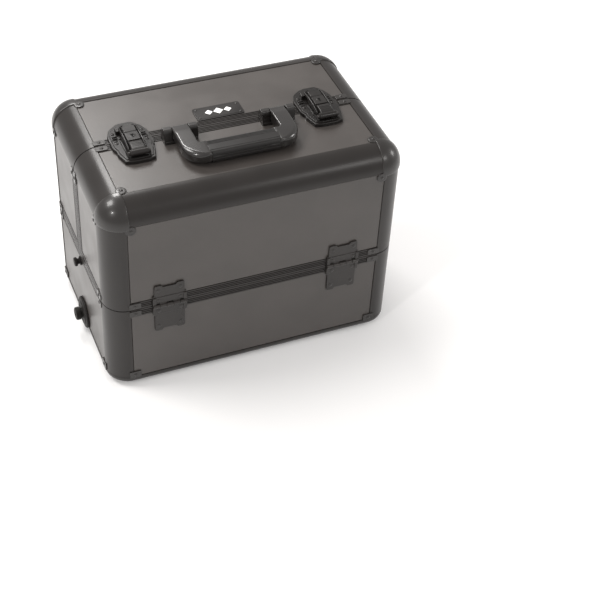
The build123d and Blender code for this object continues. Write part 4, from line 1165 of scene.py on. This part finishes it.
def handle_posts():
    """Two feet, each with a pair of tapered posts and the pin between them."""
    low, high = extent("handle_brackets")
    posts = Piece()
    foot = rectangle((high[0] - 39.6, high[0]), (low[1], high[1]), 1.6, 4)
    on_top(posts, foot, -0.5, 3, 0.8, 3)
    crest = high[2] - TOP
    side_view = rounded([
        (low[1] + 0.2, 1, 0.5), (low[1] + 0.8, 5, 1.5), (EYE_Y - 4.9, crest - 3.4, 2.0),
        (EYE_Y - 3.6, crest, 2.2), (EYE_Y + 3.6, crest, 2.2), (EYE_Y + 4.9, crest - 3.4, 2.0),
        (high[1] - 0.8, 5, 1.5), (high[1] - 0.2, 1, 0.5),
    ])
    width = 9.6
    for start in (ARM_IN - 0.5 - width, ARM_OUT + 0.5):
        side_plate(posts, side_view, start, (0, width), 0.9, 4, BOTH_ENDS)
    pin_x = 38.2
    length = high[0] - pin_x
    pin = [
        (-0.3, 0), (-0.3, 1.8), (0, 2.6), (0.6, 2.95), (length - 0.6, 2.95), (length, 2.6),
        (length + 0.3, 1.8), (length + 0.3, 0),
    ]
    posts.take(turned(pin, (pin_x, EYE_Y, EYE_Z), (1, 0, 0), 28), BOTH_ENDS, 1)
    posts.build("handle_posts", "front_lid", "handle_brackets", [HANDLE, SCREW])


HALVES = (("front", -1), ("back", 1))
for case_half, half_side in HALVES:
    lid_panels(case_half, half_side)
    lid_profiles(case_half, half_side)
    lid_fittings(case_half, half_side)
base_panels()
base_profiles()
base_fittings()
base_studs()
lining()
for case_half, half_side in HALVES:
    for tray_level in (1, 2, 3):
        tray_set(case_half, half_side, tray_level)
        for arm_place in ("inner", "outer"):
            arm_pair(case_half, half_side, tray_level, arm_place)
brackets()
latch_plate()
latch_lever("left", -LATCH)
latch_lever("right", LATCH)
latch_keeper()
badge()
handle_bow()
handle_grip()
handle_posts()


# == Studio ==

LIGHT_COLOUR = (1.0, 0.98, 0.96)
# Name, place, the point it looks at, width, power; in metres and watts.
LIGHTS = (
    ("key", (-0.1, 1.15, 1.5), (0, 0, 0.2), 0.5, 17.0),
    ("left_lamp", (-1.23, -0.80, 1.22), (-0.16, -0.1, 0.25), 0.10, 5.0),
    ("right_strip", (1.5, -0.25, 0.75), (0, 0, 0.2), 0.35, 4.0),
    ("right_box", (0.80, -1.20, 1.20), (0.15, -0.09, 0.25), 0.4, 3.5),
    ("left_box", (-0.95, 0.35, 1.50), (-0.40, 0.14, 0.0), 0.6, 16.0),
)


def paper():
    made = bpy.data.materials.new("pale_paper")
    made.use_nodes = True
    tree = made.node_tree
    grain = add(tree, "ShaderNodeTexNoise", {"Scale": 40}, {})
    shade = ranged(tree, grain.outputs["Fac"], (0.0, 1.0), (0.80, 0.83))
    values = {"Roughness": 0.7, "Specular IOR Level": 0.2, "Emission Strength": 0.16}
    values["Emission Color"] = (1, 1, 1, 1)
    feed(tree, tree.nodes["Principled BSDF"], values, {"Base Color": shade})
    return made


def studio():
    mesh = bpy.data.meshes.new("floor")
    half = 20.0
    corners = [(-half, -half, 0), (half, -half, 0), (half, half, 0), (-half, half, 0)]
    mesh.from_pydata(corners, [], [(0, 1, 2, 3)])
    mesh.materials.append(paper())
    ground = linked("floor", mesh)

    world = bpy.data.worlds.new("studio")
    bpy.context.scene.world = world
    world.use_nodes = True
    glow = {"Color": (1.0, 0.975, 0.96, 1), "Strength": 0.615}
    feed(world.node_tree, world.node_tree.nodes["Background"], glow, {})

    for name, spot, aim, width, power in LIGHTS:
        light = bpy.data.lights.new(name, "AREA")
        light.shape = "SQUARE"
        light.size = width
        light.energy = power
        light.color = LIGHT_COLOUR
        lamp = linked(name, light)
        lamp.location = spot
        lamp.rotation_euler = (Vector(aim) - Vector(spot)).to_track_quat("-Z", "Y").to_euler()


def camera():
    """The catalogue picture's viewpoint: azimuth, elevation and a slight roll about the case."""
    azimuth, elevation, roll = radians(-24.6), radians(42.7), radians(3.74)
    distance, right_shift, up_shift = 1637.69, 92.1, -99.4
    target = Vector((0, 0, 126))
    level = cos(elevation)
    back = Vector((sin(azimuth) * level, -cos(azimuth) * level, sin(elevation)))
    right = (-back).cross(Vector((0, 0, 1))).normalized()
    up = right.cross(-back)
    rolled_right = right * cos(roll) + up * sin(roll)
    rolled_up = -right * sin(roll) + up * cos(roll)
    spot = target + back * distance + rolled_right * right_shift + rolled_up * up_shift
    data = bpy.data.cameras.new("camera")
    data.lens = 81.4794
    data.sensor_width = 36
    made = linked("camera", data)
    turn = Matrix((rolled_right, rolled_up, back)).transposed()
    made.matrix_world = Matrix.Translation(spot * MM) @ turn.to_4x4()
    bpy.context.scene.camera = made


studio()
camera()
bpy.context.scene.view_settings.view_transform = "Standard"
